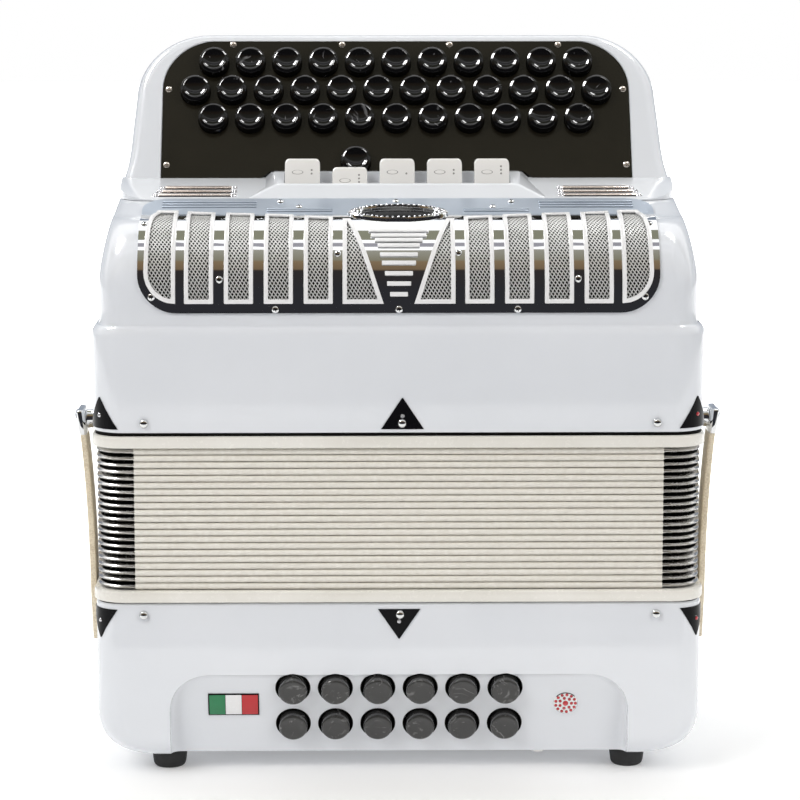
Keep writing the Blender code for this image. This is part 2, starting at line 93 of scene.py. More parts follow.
def polish_group():
    """Hand-polished surface: broad mottling, and a faint waviness under the shine."""
    tree, ins, outs = new_group(
        "polish",
        [("Mottle Scale", 20.0), ("Wave Scale", 90.0), ("Wave Strength", 0.05)],
        [("Mottle", "NodeSocketFloat"), ("Scuff", "NodeSocketFloat"), ("Normal", "NodeSocketVector")],
    )
    place = node(tree, "ShaderNodeTexCoord").outputs["Object"]
    mottle = node(tree, "ShaderNodeTexNoise", {"Detail": 3.0, "Roughness": 0.6})
    scuff = node(tree, "ShaderNodeTexNoise", {"Scale": 420.0, "Detail": 4.0, "Distortion": 1.5})
    wave = node(tree, "ShaderNodeTexNoise", {"Detail": 2.0})
    bump = node(tree, "ShaderNodeBump", {"Distance": 0.0006})
    for texture in (mottle, scuff, wave):
        tree.links.new(place, texture.inputs["Vector"])
    tree.links.new(ins.outputs["Mottle Scale"], mottle.inputs["Scale"])
    tree.links.new(ins.outputs["Wave Scale"], wave.inputs["Scale"])
    tree.links.new(ins.outputs["Wave Strength"], bump.inputs["Strength"])
    tree.links.new(wave.outputs["Fac"], bump.inputs["Height"])
    tree.links.new(mottle.outputs["Fac"], outs.inputs["Mottle"])
    tree.links.new(scuff.outputs["Fac"], outs.inputs["Scuff"])
    tree.links.new(bump.outputs["Normal"], outs.inputs["Normal"])
    return tree


def pearl_group():
    """Swirls of mother-of-pearl plastic."""
    tree, ins, outs = new_group(
        "pearl", [("Scale", 60.0), ("Contrast", 4.0)], [("Swirl", "NodeSocketFloat")]
    )
    place = node(tree, "ShaderNodeTexCoord").outputs["Object"]
    drift = node(tree, "ShaderNodeTexNoise", {"Detail": 3.0, "Distortion": 2.2})
    ridge = node(tree, "ShaderNodeTexVoronoi", {"Scale": 5.0, "Randomness": 1.0})
    tree.links.new(place, drift.inputs["Vector"])
    tree.links.new(drift.outputs["Color"], ridge.inputs["Vector"])
    tree.links.new(ins.outputs["Scale"], drift.inputs["Scale"])
    streak = math_node(tree, "SUBTRACT", 1.0, ridge.outputs["Distance"])
    power = math_node(tree, "POWER", streak, ins.outputs["Contrast"])
    tree.links.new(power, outs.inputs["Swirl"])
    return tree


def hide_group():
    """Leather: pebbled grain with soft creases."""
    tree, ins, outs = new_group(
        "hide",
        [("Grain Scale", 900.0), ("Depth", 0.35)],
        [("Pebble", "NodeSocketFloat"), ("Normal", "NodeSocketVector")],
    )
    place = node(tree, "ShaderNodeTexCoord").outputs["Object"]
    pebble = node(tree, "ShaderNodeTexVoronoi")
    crease = node(tree, "ShaderNodeTexNoise", {"Scale": 160.0, "Detail": 5.0})
    bump = node(tree, "ShaderNodeBump", {"Distance": 0.0004})
    tree.links.new(place, pebble.inputs["Vector"])
    tree.links.new(place, crease.inputs["Vector"])
    tree.links.new(ins.outputs["Grain Scale"], pebble.inputs["Scale"])
    tree.links.new(ins.outputs["Depth"], bump.inputs["Strength"])
    height = math_node(tree, "ADD", pebble.outputs["Distance"], crease.outputs["Fac"])
    tree.links.new(height, bump.inputs["Height"])
    tree.links.new(math_node(tree, "MULTIPLY", height, 0.6), outs.inputs["Pebble"])
    tree.links.new(bump.outputs["Normal"], outs.inputs["Normal"])
    return tree


def weave_group():
    """Plain-woven cloth: two sets of threads at right angles, read along the three axes."""
    tree, ins, outs = new_group(
        "weave",
        [("Threads", 1400.0), ("Depth", 0.3)],
        [("Thread", "NodeSocketFloat"), ("Normal", "NodeSocketVector")],
    )
    place = node(tree, "ShaderNodeTexCoord").outputs["Object"]
    across = node(tree, "ShaderNodeTexWave", {"Distortion": 0.4}, bands_direction="X")
    up = node(tree, "ShaderNodeTexWave", {"Distortion": 0.4}, bands_direction="Z")
    slub = node(tree, "ShaderNodeTexNoise", {"Scale": 350.0, "Detail": 3.0})
    bump = node(tree, "ShaderNodeBump", {"Distance": 0.0003})
    for texture in (across, up, slub):
        tree.links.new(place, texture.inputs["Vector"])
    for texture in (across, up):
        tree.links.new(ins.outputs["Threads"], texture.inputs["Scale"])
    crossing = math_node(tree, "MAXIMUM", across.outputs["Fac"], up.outputs["Fac"])
    thread = math_node(tree, "MULTIPLY", crossing, slub.outputs["Fac"])
    tree.links.new(thread, bump.inputs["Height"])
    tree.links.new(ins.outputs["Depth"], bump.inputs["Strength"])
    tree.links.new(thread, outs.inputs["Thread"])
    tree.links.new(bump.outputs["Normal"], outs.inputs["Normal"])
    return tree


POLISH = polish_group()
PEARL = pearl_group()
HIDE = hide_group()
WEAVE = weave_group()


# ---------------------------------------------------------------- materials


def new_material(name, group, group_values, tones, roughness, fixed=None, extra=None):
    """The group's first output mixes the tones and, over its range, the roughness.

    tones and roughness are pairs; fixed holds constant sockets of the shader.
    """
    material = bpy.data.materials.new(name)
    material.use_nodes = True
    tree = material.node_tree
    shader = tree.nodes["Principled BSDF"]
    for key, value in (fixed or {}).items():
        shader.inputs[key].default_value = value
    effect = node(tree, "ShaderNodeGroup", node_tree=group)
    for key, value in group_values.items():
        effect.inputs[key].default_value = value
    ramp = node(tree, "ShaderNodeValToRGB")
    ramp.color_ramp.elements[0].position = 0.3
    ramp.color_ramp.elements[1].position = 0.7
    ramp.color_ramp.elements[0].color = (*tones[0], 1)
    ramp.color_ramp.elements[1].color = (*tones[1], 1)
    tree.links.new(effect.outputs[0], ramp.inputs["Fac"])
    tree.links.new(ramp.outputs["Color"], shader.inputs["Base Color"])
    spread = node(tree, "ShaderNodeMapRange", {"To Min": roughness[0], "To Max": roughness[1]})
    drive = effect.outputs["Scuff"] if "Scuff" in effect.outputs else effect.outputs[0]
    tree.links.new(drive, spread.inputs["Value"])
    tree.links.new(spread.outputs["Result"], shader.inputs["Roughness"])
    if "Normal" in effect.outputs:
        tree.links.new(effect.outputs["Normal"], shader.inputs["Normal"])
    return material


def polished(name, tones, roughness, wave=0.03, scale=20.0, **fixed):
    values = {"Mottle Scale": scale, "Wave Strength": wave}
    sockets = {key.replace("_", " ").title().replace("Ior", "IOR"): value for key, value in fixed.items()}
    return new_material(name, POLISH, values, tones, roughness, sockets)


LACQUER = polished(
    "white_lacquer", ((0.715, 0.74, 0.785), (0.76, 0.782, 0.825)), (0.12, 0.2),
    wave=0.02, scale=9.0, coat_weight=0.6, coat_roughness=0.04,
)
CREAM = polished("cream_frame", ((0.74, 0.72, 0.665), (0.83, 0.81, 0.765)), (0.2, 0.32), coat_weight=0.3)
IVORY = polished("ivory_plastic", ((0.80, 0.79, 0.77), (0.86, 0.85, 0.83)), (0.2, 0.3), coat_weight=0.3)
FRAME_WHITE = polished("white_enamel", ((0.78, 0.78, 0.79), (0.86, 0.86, 0.87)), (0.2, 0.32))
PLATE_BLACK = polished(
    "black_gloss", ((0.009, 0.0078, 0.005), (0.014, 0.012, 0.008)), (0.12, 0.2), specular_ior_level=0.4
)
CHROME = polished("chrome", ((0.72, 0.73, 0.74), (0.80, 0.81, 0.82)), (0.03, 0.07), wave=0.005, metallic=1.0)
STEEL = polished("corner_steel", ((0.42, 0.41, 0.40), (0.66, 0.65, 0.63)), (0.16, 0.34), metallic=1.0)
MESH_STEEL = polished("mesh_steel", ((0.70, 0.70, 0.69), (0.84, 0.84, 0.83)), (0.25, 0.38), metallic=0.4)
# Painted reflection: the chrome deck gets a darker blue-grey colour that stands in for the surroundings it
# reflects; its higher roughness is its satin finish.
DECK_PAINTED_REFLECTION = polished("satin_chrome_painted_reflection", ((0.34, 0.39, 0.46), (0.43, 0.48, 0.55)), (0.3, 0.42), metallic=0.5)
ROSE_GOLD = polished("rose_gold", ((0.84, 0.73, 0.66), (0.93, 0.85, 0.80)), (0.2, 0.3), metallic=0.8)
NICKEL = polished("nickel_screw", ((0.50, 0.45, 0.40), (0.68, 0.62, 0.56)), (0.2, 0.35), metallic=0.8)
RUBBER = polished("black_rubber", ((0.016, 0.016, 0.017), (0.03, 0.03, 0.03)), (0.6, 0.85), wave=0.4)
GASKET = polished(
    "black_gasket", ((0.003, 0.003, 0.003), (0.007, 0.007, 0.006)), (0.6, 0.9),
    wave=0.3, specular_ior_level=0.1,
)
WOOD = polished("reed_wood", ((0.50, 0.34, 0.18), (0.66, 0.49, 0.29)), (0.5, 0.7), wave=0.2, scale=45.0)
ONYX = polished(
    "black_inlay", ((0.002, 0.002, 0.003), (0.005, 0.005, 0.006)), (0.2, 0.3), specular_ior_level=0.12
)
GREY_INK = polished("grey_ink", ((0.20, 0.19, 0.18), (0.30, 0.29, 0.28)), (0.4, 0.5))
STONE_CLEAR = polished(
    "clear_stone", ((0.28, 0.28, 0.30), (0.92, 0.92, 0.95)), (0.03, 0.1), scale=600.0, metallic=0.7
)
STONE_RED = polished(
    "red_stone", ((0.28, 0.01, 0.02), (0.62, 0.05, 0.06)), (0.03, 0.1), scale=600.0, coat_weight=1.0
)
LEAF_GREEN = polished("green_enamel", ((0.02, 0.18, 0.07), (0.03, 0.24, 0.10)), (0.15, 0.3))
POPPY_RED = polished("red_enamel", ((0.42, 0.02, 0.025), (0.52, 0.03, 0.035)), (0.15, 0.3))
BUTTON_PEARL = new_material(
    "black_pearl", PEARL, {"Scale": 26.0, "Contrast": 7.0},
    ((0.004, 0.004, 0.0045), (0.13, 0.13, 0.135)), (0.07, 0.16), {"Specular IOR Level": 0.35},
)
BASS_PEARL = new_material(
    "bass_pearl", PEARL, {"Scale": 55.0, "Contrast": 3.0},
    ((0.030, 0.030, 0.030), (0.13, 0.13, 0.13)), (0.12, 0.22), {"Coat Weight": 0.5},
)
BEIGE_HIDE = new_material(
    "strap_leather", HIDE, {"Grain Scale": 1100.0, "Depth": 0.3},
    ((0.60, 0.50, 0.36), (0.83, 0.74, 0.58)), (0.42, 0.62),
)
BLACK_HIDE = new_material(
    "hand_leather", HIDE, {"Grain Scale": 900.0, "Depth": 0.4},
    ((0.02, 0.018, 0.016), (0.05, 0.045, 0.04)), (0.4, 0.65),
)
TAPE = new_material(
    "bellows_cloth", WEAVE, {"Threads": 900.0, "Depth": 0.25},
    ((0.74, 0.71, 0.65), (0.87, 0.85, 0.80)), (0.5, 0.75),
)
FELT = new_material(
    "black_cloth", WEAVE, {"Threads": 1200.0, "Depth": 0.5},
    ((0.004, 0.004, 0.004), (0.014, 0.014, 0.014)), (0.8, 0.95),
)


# ---------------------------------------------------------------- making pieces


def finish_piece(name, bm, materials, body, stands_for=(), crease=35):
    bmesh.ops.remove_doubles(bm, verts=bm.verts[:], dist=1e-4)
    bmesh.ops.recalc_face_normals(bm, faces=bm.faces[:])
    bmesh.ops.scale(bm, vec=(MM, MM, MM), verts=bm.verts[:])
    mesh = bpy.data.meshes.new(name)
    bm.to_mesh(mesh)
    bm.free()
    for material in materials:
        mesh.materials.append(material)
    mesh.shade_smooth()
    mesh.set_sharp_from_angle(angle=math.radians(crease))
    obj = bpy.data.objects.new(name, mesh)
    bpy.context.scene.collection.objects.link(obj)
    if body:
        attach(obj, body)
    if stands_for:
        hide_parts(*stands_for)
    return obj


def put(bm, matrix):
    bmesh.ops.transform(bm, matrix=matrix, verts=bm.verts[:])
    return bm


def add_to(bm, other, place=None, material=0):
    """Moves other into place and joins it to bm."""
    if place:
        put(other, place)
    for face in other.faces:
        face.material_index = material
    mesh = bpy.data.meshes.new("joined")
    other.to_mesh(mesh)
    other.free()
    bm.from_mesh(mesh)
    bpy.data.meshes.remove(mesh)


def cut_from(bm, tool):
    """Takes the tool's space out of bm, and returns the new bmesh; both are closed."""
    meshes = []
    for shape in (bm, tool):
        bmesh.ops.recalc_face_normals(shape, faces=shape.faces[:])
        mesh = bpy.data.meshes.new("cutting")
        shape.to_mesh(mesh)
        shape.free()
        meshes.append(mesh)
    body, blade = (bpy.data.objects.new("cutting", mesh) for mesh in meshes)
    for obj in (body, blade):
        bpy.context.scene.collection.objects.link(obj)
    modifier = body.modifiers.new("cut", "BOOLEAN")
    modifier.operation = "DIFFERENCE"
    modifier.object = blade
    bpy.context.view_layer.update()
    result = bpy.data.meshes.new_from_object(body.evaluated_get(bpy.context.evaluated_depsgraph_get()))
    made = bmesh.new()
    made.from_mesh(result)
    for obj in (body, blade):
        bpy.data.objects.remove(obj)
    for mesh in (*meshes, result):
        bpy.data.meshes.remove(mesh)
    return made


def arc(center, radius, start, end, steps):
    points = []
    for i in range(steps + 1):
        angle = math.radians(start + (end - start) * i / steps)
        points.append((center[0] + radius * math.cos(angle), center[1] + radius * math.sin(angle)))
    return points


def mirrored(points):
    """The points, followed by their mirror images across X in the opposite order."""
    return points + [(-x, y) for x, y in reversed(points)]


def rounded(half, low, high, radius, steps=8):
    """A rounded rectangle, symmetric across X."""
    right = arc((half - radius, low + radius), radius, -90, 0, steps)
    right += arc((half - radius, high - radius), radius, 0, 90, steps)
    return mirrored(right)


def loft(rings, closed=False):
    """Bridges rings of equal length; its ends are capped, or joined where it is closed."""
    bm = bmesh.new()
    made = []
    for ring in rings:
        verts = [bm.verts.new(point) for point in ring]
        made.append([bm.edges.new((verts[i - 1], vert)) for i, vert in enumerate(verts)])
        made[-1].append(verts)
    edges = [ring[:-1] for ring in made]
    for first, second in zip(edges, edges[1:]):
        bmesh.ops.bridge_loops(bm, edges=first + second)
    if closed:
        bmesh.ops.bridge_loops(bm, edges=edges[-1] + edges[0])
    else:
        bm.faces.new(made[0][-1])
        bm.faces.new(made[-1][-1])
    return bm


def tiers(half, low, high, radius, profile, steps=8):
    """A stack of rounded rectangles; profile holds (inset, height) pairs from the bottom up."""
    rings = []
    for inset, z in profile:
        outline = rounded(half - inset, low + inset, high - inset, max(radius - inset, 0.8), steps)
        rings.append([(x, y, z) for x, y in outline])
    return loft(rings)


def sheet(outline, low, high):
    """A flat prism: an outline in X and Y, extruded from low to high."""
    bm = bmesh.new()
    face = bm.faces.new([bm.verts.new((x, y, low)) for x, y in outline])
    made = bmesh.ops.extrude_face_region(bm, geom=[face])["geom"]
    verts = [item for item in made if isinstance(item, bmesh.types.BMVert)]
    bmesh.ops.translate(bm, verts=verts, vec=(0, 0, high - low))
    bmesh.ops.recalc_face_normals(bm, faces=bm.faces[:])
    return bm


def block(x, y, z):
    return sheet([(x[0], y[0]), (x[1], y[0]), (x[1], y[1]), (x[0], y[1])], z[0], z[1])


def extruded(section, half):
    """A bar from -half to half along X; its section's points are in Y and Z."""
    bm = bmesh.new()
    face = bm.faces.new([bm.verts.new((-half, y, z)) for y, z in section])
    made = bmesh.ops.extrude_face_region(bm, geom=[face])["geom"]
    ends = [item for item in made if isinstance(item, bmesh.types.BMVert)]
    bmesh.ops.translate(bm, verts=ends, vec=(2 * half, 0, 0))
    bmesh.ops.recalc_face_normals(bm, faces=bm.faces[:])
    return bm


def score(bm, height):
    """Cuts the faces of a flat piece across at a height, so that it can bend there."""
    geometry = bm.verts[:] + bm.edges[:] + bm.faces[:]
    bmesh.ops.bisect_plane(bm, geom=geometry, dist=1e-5, plane_co=(0, height, 0), plane_no=(0, 1, 0))


def soften(bm, width, steps=3, over=30):
    """Rounds every edge sharper than the angle."""
    edges = [e for e in bm.edges if len(e.link_faces) == 2 and e.calc_face_angle(0) > math.radians(over)]
    bmesh.ops.bevel(
        bm, geom=edges, offset=width, segments=steps, affect="EDGES", profile=0.5, material=-1,
        clamp_overlap=True,
    )
    return bm


def lathe(profile, sides=32):
    """A closed turned solid about Z; the profile runs from the axis on top to the axis below."""
    bm = bmesh.new()
    line = [bm.verts.new((radius, 0.0, height)) for radius, height in profile]
    edges = [bm.edges.new(pair) for pair in zip(line, line[1:])]
    bmesh.ops.spin(
        bm, geom=line + edges, cent=(0, 0, 0), axis=(0, 0, 1), angle=math.tau, steps=sides, use_merge=True
    )
    bmesh.ops.remove_doubles(bm, verts=bm.verts[:], dist=1e-4)
    bmesh.ops.recalc_face_normals(bm, faces=bm.faces[:])
    return bm


def dome(radius, height, sides=16, rows=5, skirt=0.4):
    profile = [(0, height)]
    for i in range(1, rows + 1):
        angle = math.pi / 2 * i / rows
        profile.append((radius * math.sin(angle), height * math.cos(angle)))
    return lathe([*profile, (radius, -skirt), (0, -skirt)], sides)


def facing(origin, normal, upward=(0, 0, 1)):
    """A matrix that turns a piece's Z to the normal and its Y to the upward direction."""
    z = Vector(normal).normalized()
    x = Vector(upward).cross(z).normalized()
    turn = Matrix((x, z.cross(x), z)).transposed().to_4x4()
    return Matrix.Translation(Vector(origin)) @ turn


# ---------------------------------------------------------------- places on the instrument

LEAN = math.radians(31)
PLATE_UP = Vector((0, math.sin(LEAN), math.cos(LEAN)))
PLATE_OUT = Vector((0, -math.cos(LEAN), math.sin(LEAN)))
PANEL_LEAN = math.radians(18)
PANEL_UP = Vector((0, -math.sin(PANEL_LEAN), math.cos(PANEL_LEAN)))
PANEL_OUT = Vector((0, -math.cos(PANEL_LEAN), -math.sin(PANEL_LEAN)))
PANEL_TOP = 59.4
PLATE_FOOT = (92.0, 313.1)  # behind the front face, and height
LIP_FRONT = (62.3, 303.9)
LIP_HALF = 150.4
GRILLE_AXIS = (-55.0, 259.6)  # middle of the bend, in Y and Z
GRILLE_BEND = 38.5
GRILLE_FOOT = 250.2
GRILLE_RISE = 9.4  # straight part below the bend
GRILLE_TURN = math.pi / 2 * GRILLE_BEND
DECK_RUN = 0.958
DECK_RISE = 0.287


def plate_place(x, up, out=0.0):
    """On the slanted fingerboard plate."""
    foot = Vector((x, FRONT + PLATE_FOOT[0], PLATE_FOOT[1]))
    return facing(foot + PLATE_UP * up + PLATE_OUT * out, PLATE_OUT, PLATE_UP)


def panel_place(x, down, out=0.0):
    """On the slanted bass panel."""
    top = Vector((x, FRONT, PANEL_TOP))
    return facing(top - PANEL_UP * down + PANEL_OUT * out, PANEL_OUT, PANEL_UP)


def lip_place(x, behind, out=0.0):
    """On the lip in front of the fingerboard plate; behind is the distance behind the front face."""
    tilt = math.atan2(PLATE_FOOT[1] - LIP_FRONT[1], PLATE_FOOT[0] - LIP_FRONT[0])
    upward = Vector((0, math.cos(tilt), math.sin(tilt)))
    normal = Vector((0, -math.sin(tilt), math.cos(tilt)))
    height = LIP_FRONT[1] + (behind - LIP_FRONT[0]) * math.tan(tilt)
    return facing(Vector((x, FRONT + behind, height)) + normal * out, normal, upward)


def on_grille(x, along, out):
    """Bends a flat point over the grille: up its front, round its bend and back over its deck."""
    middle_y, middle_z = GRILLE_AXIS
    radius = GRILLE_BEND + out
    if along < GRILLE_RISE:
        return Vector((x, middle_y - radius, GRILLE_FOOT + along))
    if along < GRILLE_RISE + GRILLE_TURN:
        angle = (along - GRILLE_RISE) / GRILLE_BEND
        return Vector((x, middle_y - radius * math.cos(angle), middle_z + radius * math.sin(angle)))
    rest = along - GRILLE_RISE - GRILLE_TURN
    back = middle_y + rest * DECK_RUN - out * DECK_RISE
    return Vector((x, back, middle_z + GRILLE_BEND + rest * DECK_RISE + out * DECK_RUN))


def wrap(bm, slices=24):
    """Bends a flat piece over the grille; slices give it the bend's smoothness."""
    for i in range(slices + 1 if slices else 0):
        score(bm, GRILLE_RISE + GRILLE_TURN * i / slices)
    for vert in bm.verts:
        vert.co = on_grille(*vert.co)
    return bm


def grille_place(x, along, out=0.0):
    here, there = on_grille(x, along, out), on_grille(x, along, out + 1)
    return facing(here, there - here, on_grille(x, along + 0.5, out) - here)


def round_corners(bm, half, radius):
    """Bends a flat piece on the front face round the body's upright corners; X becomes a length."""
    for vert in bm.verts:
        side = 1 if vert.co.x > 0 else -1
        beyond = abs(vert.co.x) - (half - radius)
        if beyond <= 0:
            continue
        out = FRONT - vert.co.y
        angle = beyond / radius
        vert.co.x = side * (half - radius + (radius + out) * math.sin(angle))
        vert.co.y = FRONT + radius - (radius + out) * math.cos(angle)
    return bm


# ---------------------------------------------------------------- bass end

BASS_HALF = 161.0
BASS_ROWS = (11.0, 33.3)  # down the panel
BASS_COLUMNS = 6
BASS_PITCH = 22.6
BASS_HOLE = 9.1


def bass_spots():
    """Each bass button's row and its place on the panel."""
    for row, down in enumerate(BASS_ROWS, 1):
        for column in range(BASS_COLUMNS):
            yield row, panel_place((column - (BASS_COLUMNS - 1) / 2) * BASS_PITCH, down)


def draw_in(radius, height):
    """How far a rounded bottom edge is drawn in at a height above its foot."""
    below = max(0.0, radius - height)
    return radius - math.sqrt(radius**2 - below**2)


def bass_shell():
    low, rim_start = 11.0, 83.7
    rings = []
    heights = [0, 0.2, 0.7, 1.5, 2.7, 4.2, 6, 8.2, 10.5, 12, 15, 18, 21, 24, 50, 83.3, 84.0, 84.4, 84.7]
    for height in heights:
        side, face = draw_in(24, height), draw_in(12, height)
        rim = max(0.0, height - rim_start)
        outline = rounded(BASS_HALF - side - rim, FRONT + face + rim, BACK - face - rim, 15, 10)
        rings.append([(x, y, low + height) for x, y in outline])
    shell = loft(rings)
    radius, half = 22.0, 122.0
    wedge = sheet(mirrored([(half, -80), *arc((half - radius, -radius), radius, 0, 90, 14)]), 0, 60)
    floor_edges = [
        edge for edge in wedge.edges
        if all(abs(vert.co.z) < 1e-4 for vert in edge.verts) and sum(vert.co.y for vert in edge.verts) > -159
    ]
    bmesh.ops.bevel(
        wedge, geom=floor_edges, offset=5, segments=6, affect="EDGES", profile=0.5, material=-1
    )
    shell = cut_from(shell, put(wedge, panel_place(0, 0)))
    holes = bmesh.new()
    for _, place in bass_spots():
        add_to(holes, lathe([(0, 6), (BASS_HOLE, 6), (BASS_HOLE, -10.4), (0, -10.4)], 40), place)
    shell = cut_from(shell, holes)
    finish_piece("bass_shell", shell, [LACQUER], BASS, ["bass_casing"], 28)


def bass_hole_liners():
    cups = bmesh.new()
    profile = [(0, -9.6), (8.4, -9.6), (8.7, -0.6), (8.95, 0.15), (9.35, 0.1), (9.4, -0.05), (9.05, -0.2)]
    profile += [(9.05, -10.3), (0, -10.3)]
    for _, place in bass_spots():
        add_to(cups, lathe(profile, 40), place)
    finish_piece("bass_hole_liners", cups, [GASKET], BASS)


def bass_buttons():
    profile = [(0, 4.7), (3.0, 4.75), (4.9, 5.0), (5.8, 5.35), (6.5, 5.4), (7.1, 5.15), (7.5, 4.6)]
    profile += [(7.6, 3.9), (7.6, -9.3), (0, -9.3)]
    for row, down in enumerate(BASS_ROWS, 1):
        buttons = bmesh.new()
        for place in [place for place_row, place in bass_spots() if place_row == row]:
            add_to(buttons, lathe(profile, 36), place)
        add_to(buttons, soften(block((-61, 61), (-3, 3), (-11.9, -9.1)), 0.4), panel_place(0, down))
        name = f"bass_row_{row}"
        finish_piece(
            f"{name}_pearls", buttons, [BASS_PEARL], name, [f"bass_button_row_{row}"]
        )


def air_peg():
    profile = [(0, 18.4), (5.2, 18.4), (5.2, 16.6), (3.8, 16.5), (3.8, 8.6)]
    profile += [(3.5, 7.6), (2.8, 7.1), (0, 7.0)]
    peg = lathe(profile, 28)
    bmesh.ops.translate(peg, verts=peg.verts[:], vec=(75.6, FRONT + 28, 0))
    finish_piece("air_peg", peg, [IVORY], "air_valve_button", ["air_button"])


def rubber_feet():
    profile = [(0, 10.7), (9.2, 10.7), (9.7, 10.2), (9.5, 7.5), (8.8, 2.2), (8.3, 0.9), (7.4, 0.1)]
    profile += [(6.2, 0.0), (4.2, 0.0), (3.8, 0.8), (0, 0.8)]
    for end, y in (("front", FRONT + 29), ("rear", BACK - 29)):
        for side, x in (("left", -124), ("right", 124)):
            foot = lathe(profile, 36)
            bmesh.ops.translate(foot, verts=foot.verts[:], vec=(x, y, 0))
            name = f"foot_{end}_{side}"
            finish_piece(f"{name}_rubber", foot, [RUBBER], BASS, [name])


def hand_strap():
    """Flat leather between two fixed ends, with a row of stitches along each edge."""
    strap = bmesh.new()
    path = mirrored([(-104, 9.4), (-94, 9.4), (-90, 8.9), (-86, 7.4), (-82, 5.0), (-78, 4.0), (-60, 3.9)])
    section = rounded(25.8, -1.2, 1.2, 1.0, 3)
    rings = [[(x, y, z + t) for y, t in section] for x, z in path]
    add_to(strap, loft(rings))
    for side in (-1, 1):
        for i in range(44):
            x, y = -75 + i * 150 / 43, side * 22.6
            stitch = block((x - 1.1, x + 1.1), (y - 0.3, y + 0.3), (2.5, 2.9))
            add_to(strap, soften(stitch, 0.12, 1), material=1)
    finish_piece("hand_strap_leather", strap, [BLACK_HIDE, IVORY], BASS, ["hand_strap"])


def body_trim(name, z, apex, stone_sides, pin_z, pin_x, body, half, radius, middle):
    """Triangular inlays with small stones, and the pins that hold the bellows frame."""
    inlay = bmesh.new()
    for center, stone in zip((-(half - radius) - 14, middle, half - radius + 14), stone_sides):
        outline = [(center - 11.2, z), (center + 11.2, z), (center + 0.3, apex), (center - 0.3, apex)]
        plate = sheet(outline, 0, 0.45)
        bmesh.ops.subdivide_edges(plate, edges=plate.edges[:], cuts=5, use_grid_fill=True)
        add_to(inlay, plate, facing((0, FRONT, 0), (0, -1, 0)))
        gem = dome(1.15, 0.7, 16, 4)
        add_to(inlay, gem, facing((center, FRONT - 0.4, z + (apex - z) * 0.42), (0, -1, 0)), stone)
    round_corners(inlay, half, radius)
    finish_piece(f"{name}_inlays", inlay, [ONYX, STONE_CLEAR, STONE_RED], body)
    pins = bmesh.new()
    profile = [(0, 2.6), (1.1, 2.45), (1.9, 1.9), (2.4, 1.1), (2.6, 0.2), (2.6, -0.3), (0, -0.3)]
    for x in pin_x:
        for y, way in ((FRONT, -1), (BACK, 1)):
            add_to(pins, lathe(profile, 24), facing((x, y, pin_z), (0, way, 0)))
    finish_piece(f"{name}_pins", pins, [CHROME], body)


def plaque():
    """A plain enamelled plate of three bands, and across from it a small rosette of stones."""
    across, down = 88.2, 21
    bands = bmesh.new()
    add_to(bands, soften(block((-13.6, 13.6), (-6.7, 6.7), (0, 0.6)), 0.25, 2), panel_place(-across, down))
    for i, x in enumerate((-8.7, 0, 8.7)):
        band = soften(block((x - 4.25, x + 4.25), (-6.0, 6.0), (0.4, 0.9)), 0.15, 2)
        add_to(bands, band, panel_place(-across, down), i + 1)
    finish_piece("three_band_plaque", bands, [ONYX, LEAF_GREEN, FRAME_WHITE, POPPY_RED], BASS)
    across, lift = 89, 0.4
    rosette = bmesh.new()
    disc = lathe([(0, 0.5), (6.2, 0.5), (6.6, 0.2), (6.6, -0.3), (0, -0.3)], 36)
    add_to(rosette, disc, panel_place(across, down))
    add_to(rosette, dome(1.6, 1.3, 12, 4), panel_place(across, down, lift), 1)
    for count, radius in ((7, 3.2), (13, 5.3)):
        for i in range(count):
            angle = math.tau * i / count
            x, y = radius * math.cos(angle), radius * math.sin(angle)
            add_to(rosette, dome(0.95, 0.85, 8, 3), panel_place(across + x, down + y, lift), 1)
    finish_piece("stone_rosette", rosette, [CHROME, STONE_RED], BASS)


# ---------------------------------------------------------------- bellows and straps


def frames_and_gaskets():
    edge = [(1.2, 0), (0.35, 0.35), (0, 1.2), (0, 5.1), (0.35, 5.95), (1.2, 6.3)]
    for name, low, body in (("bass", 96.3, BASS), ("treble", 179.0, TREBLE)):
        profile = [(inset, low + z) for inset, z in edge]
        ring = tiers(162.0, -96.7, 96.7, 17, profile, 10)
        node_name = f"{name}_bellows_frame"
        finish_piece(f"{name}_frame_ring", ring, [CREAM], body, [node_name])
    for name, half, inset, radius, low, high, body in (
        ("treble", 160.4, 1.0, 15, 185.2, 187.3, TREBLE),
        ("bass", 160.1, 1.2, 14, 95.5, 96.5, BASS),
    ):
        gasket = tiers(half, FRONT + inset, BACK - inset, radius, [(0, low), (0, high)], 10)
        finish_piece(f"{name}_gasket", gasket, [GASKET], body)


def fold_outline(inset, cap_inset):
    """One ring of the bellows: the cloth tape's inset along the sides, the caps' round the corners."""
    half, low, high = 160 - cap_inset, FRONT + 1 + cap_inset, BACK - 1 - cap_inset
    radius = 16 - cap_inset * 0.8
    right = [(139.3, low + inset - cap_inset), (139.9, low)]
    right += arc((half - radius, low + radius), radius, -90, 0, 6)
    right += [(half, -75.6), (half + cap_inset - inset, -75.0)]
    right += [(x, -y) for x, y in reversed(right)]
    return mirrored(right)


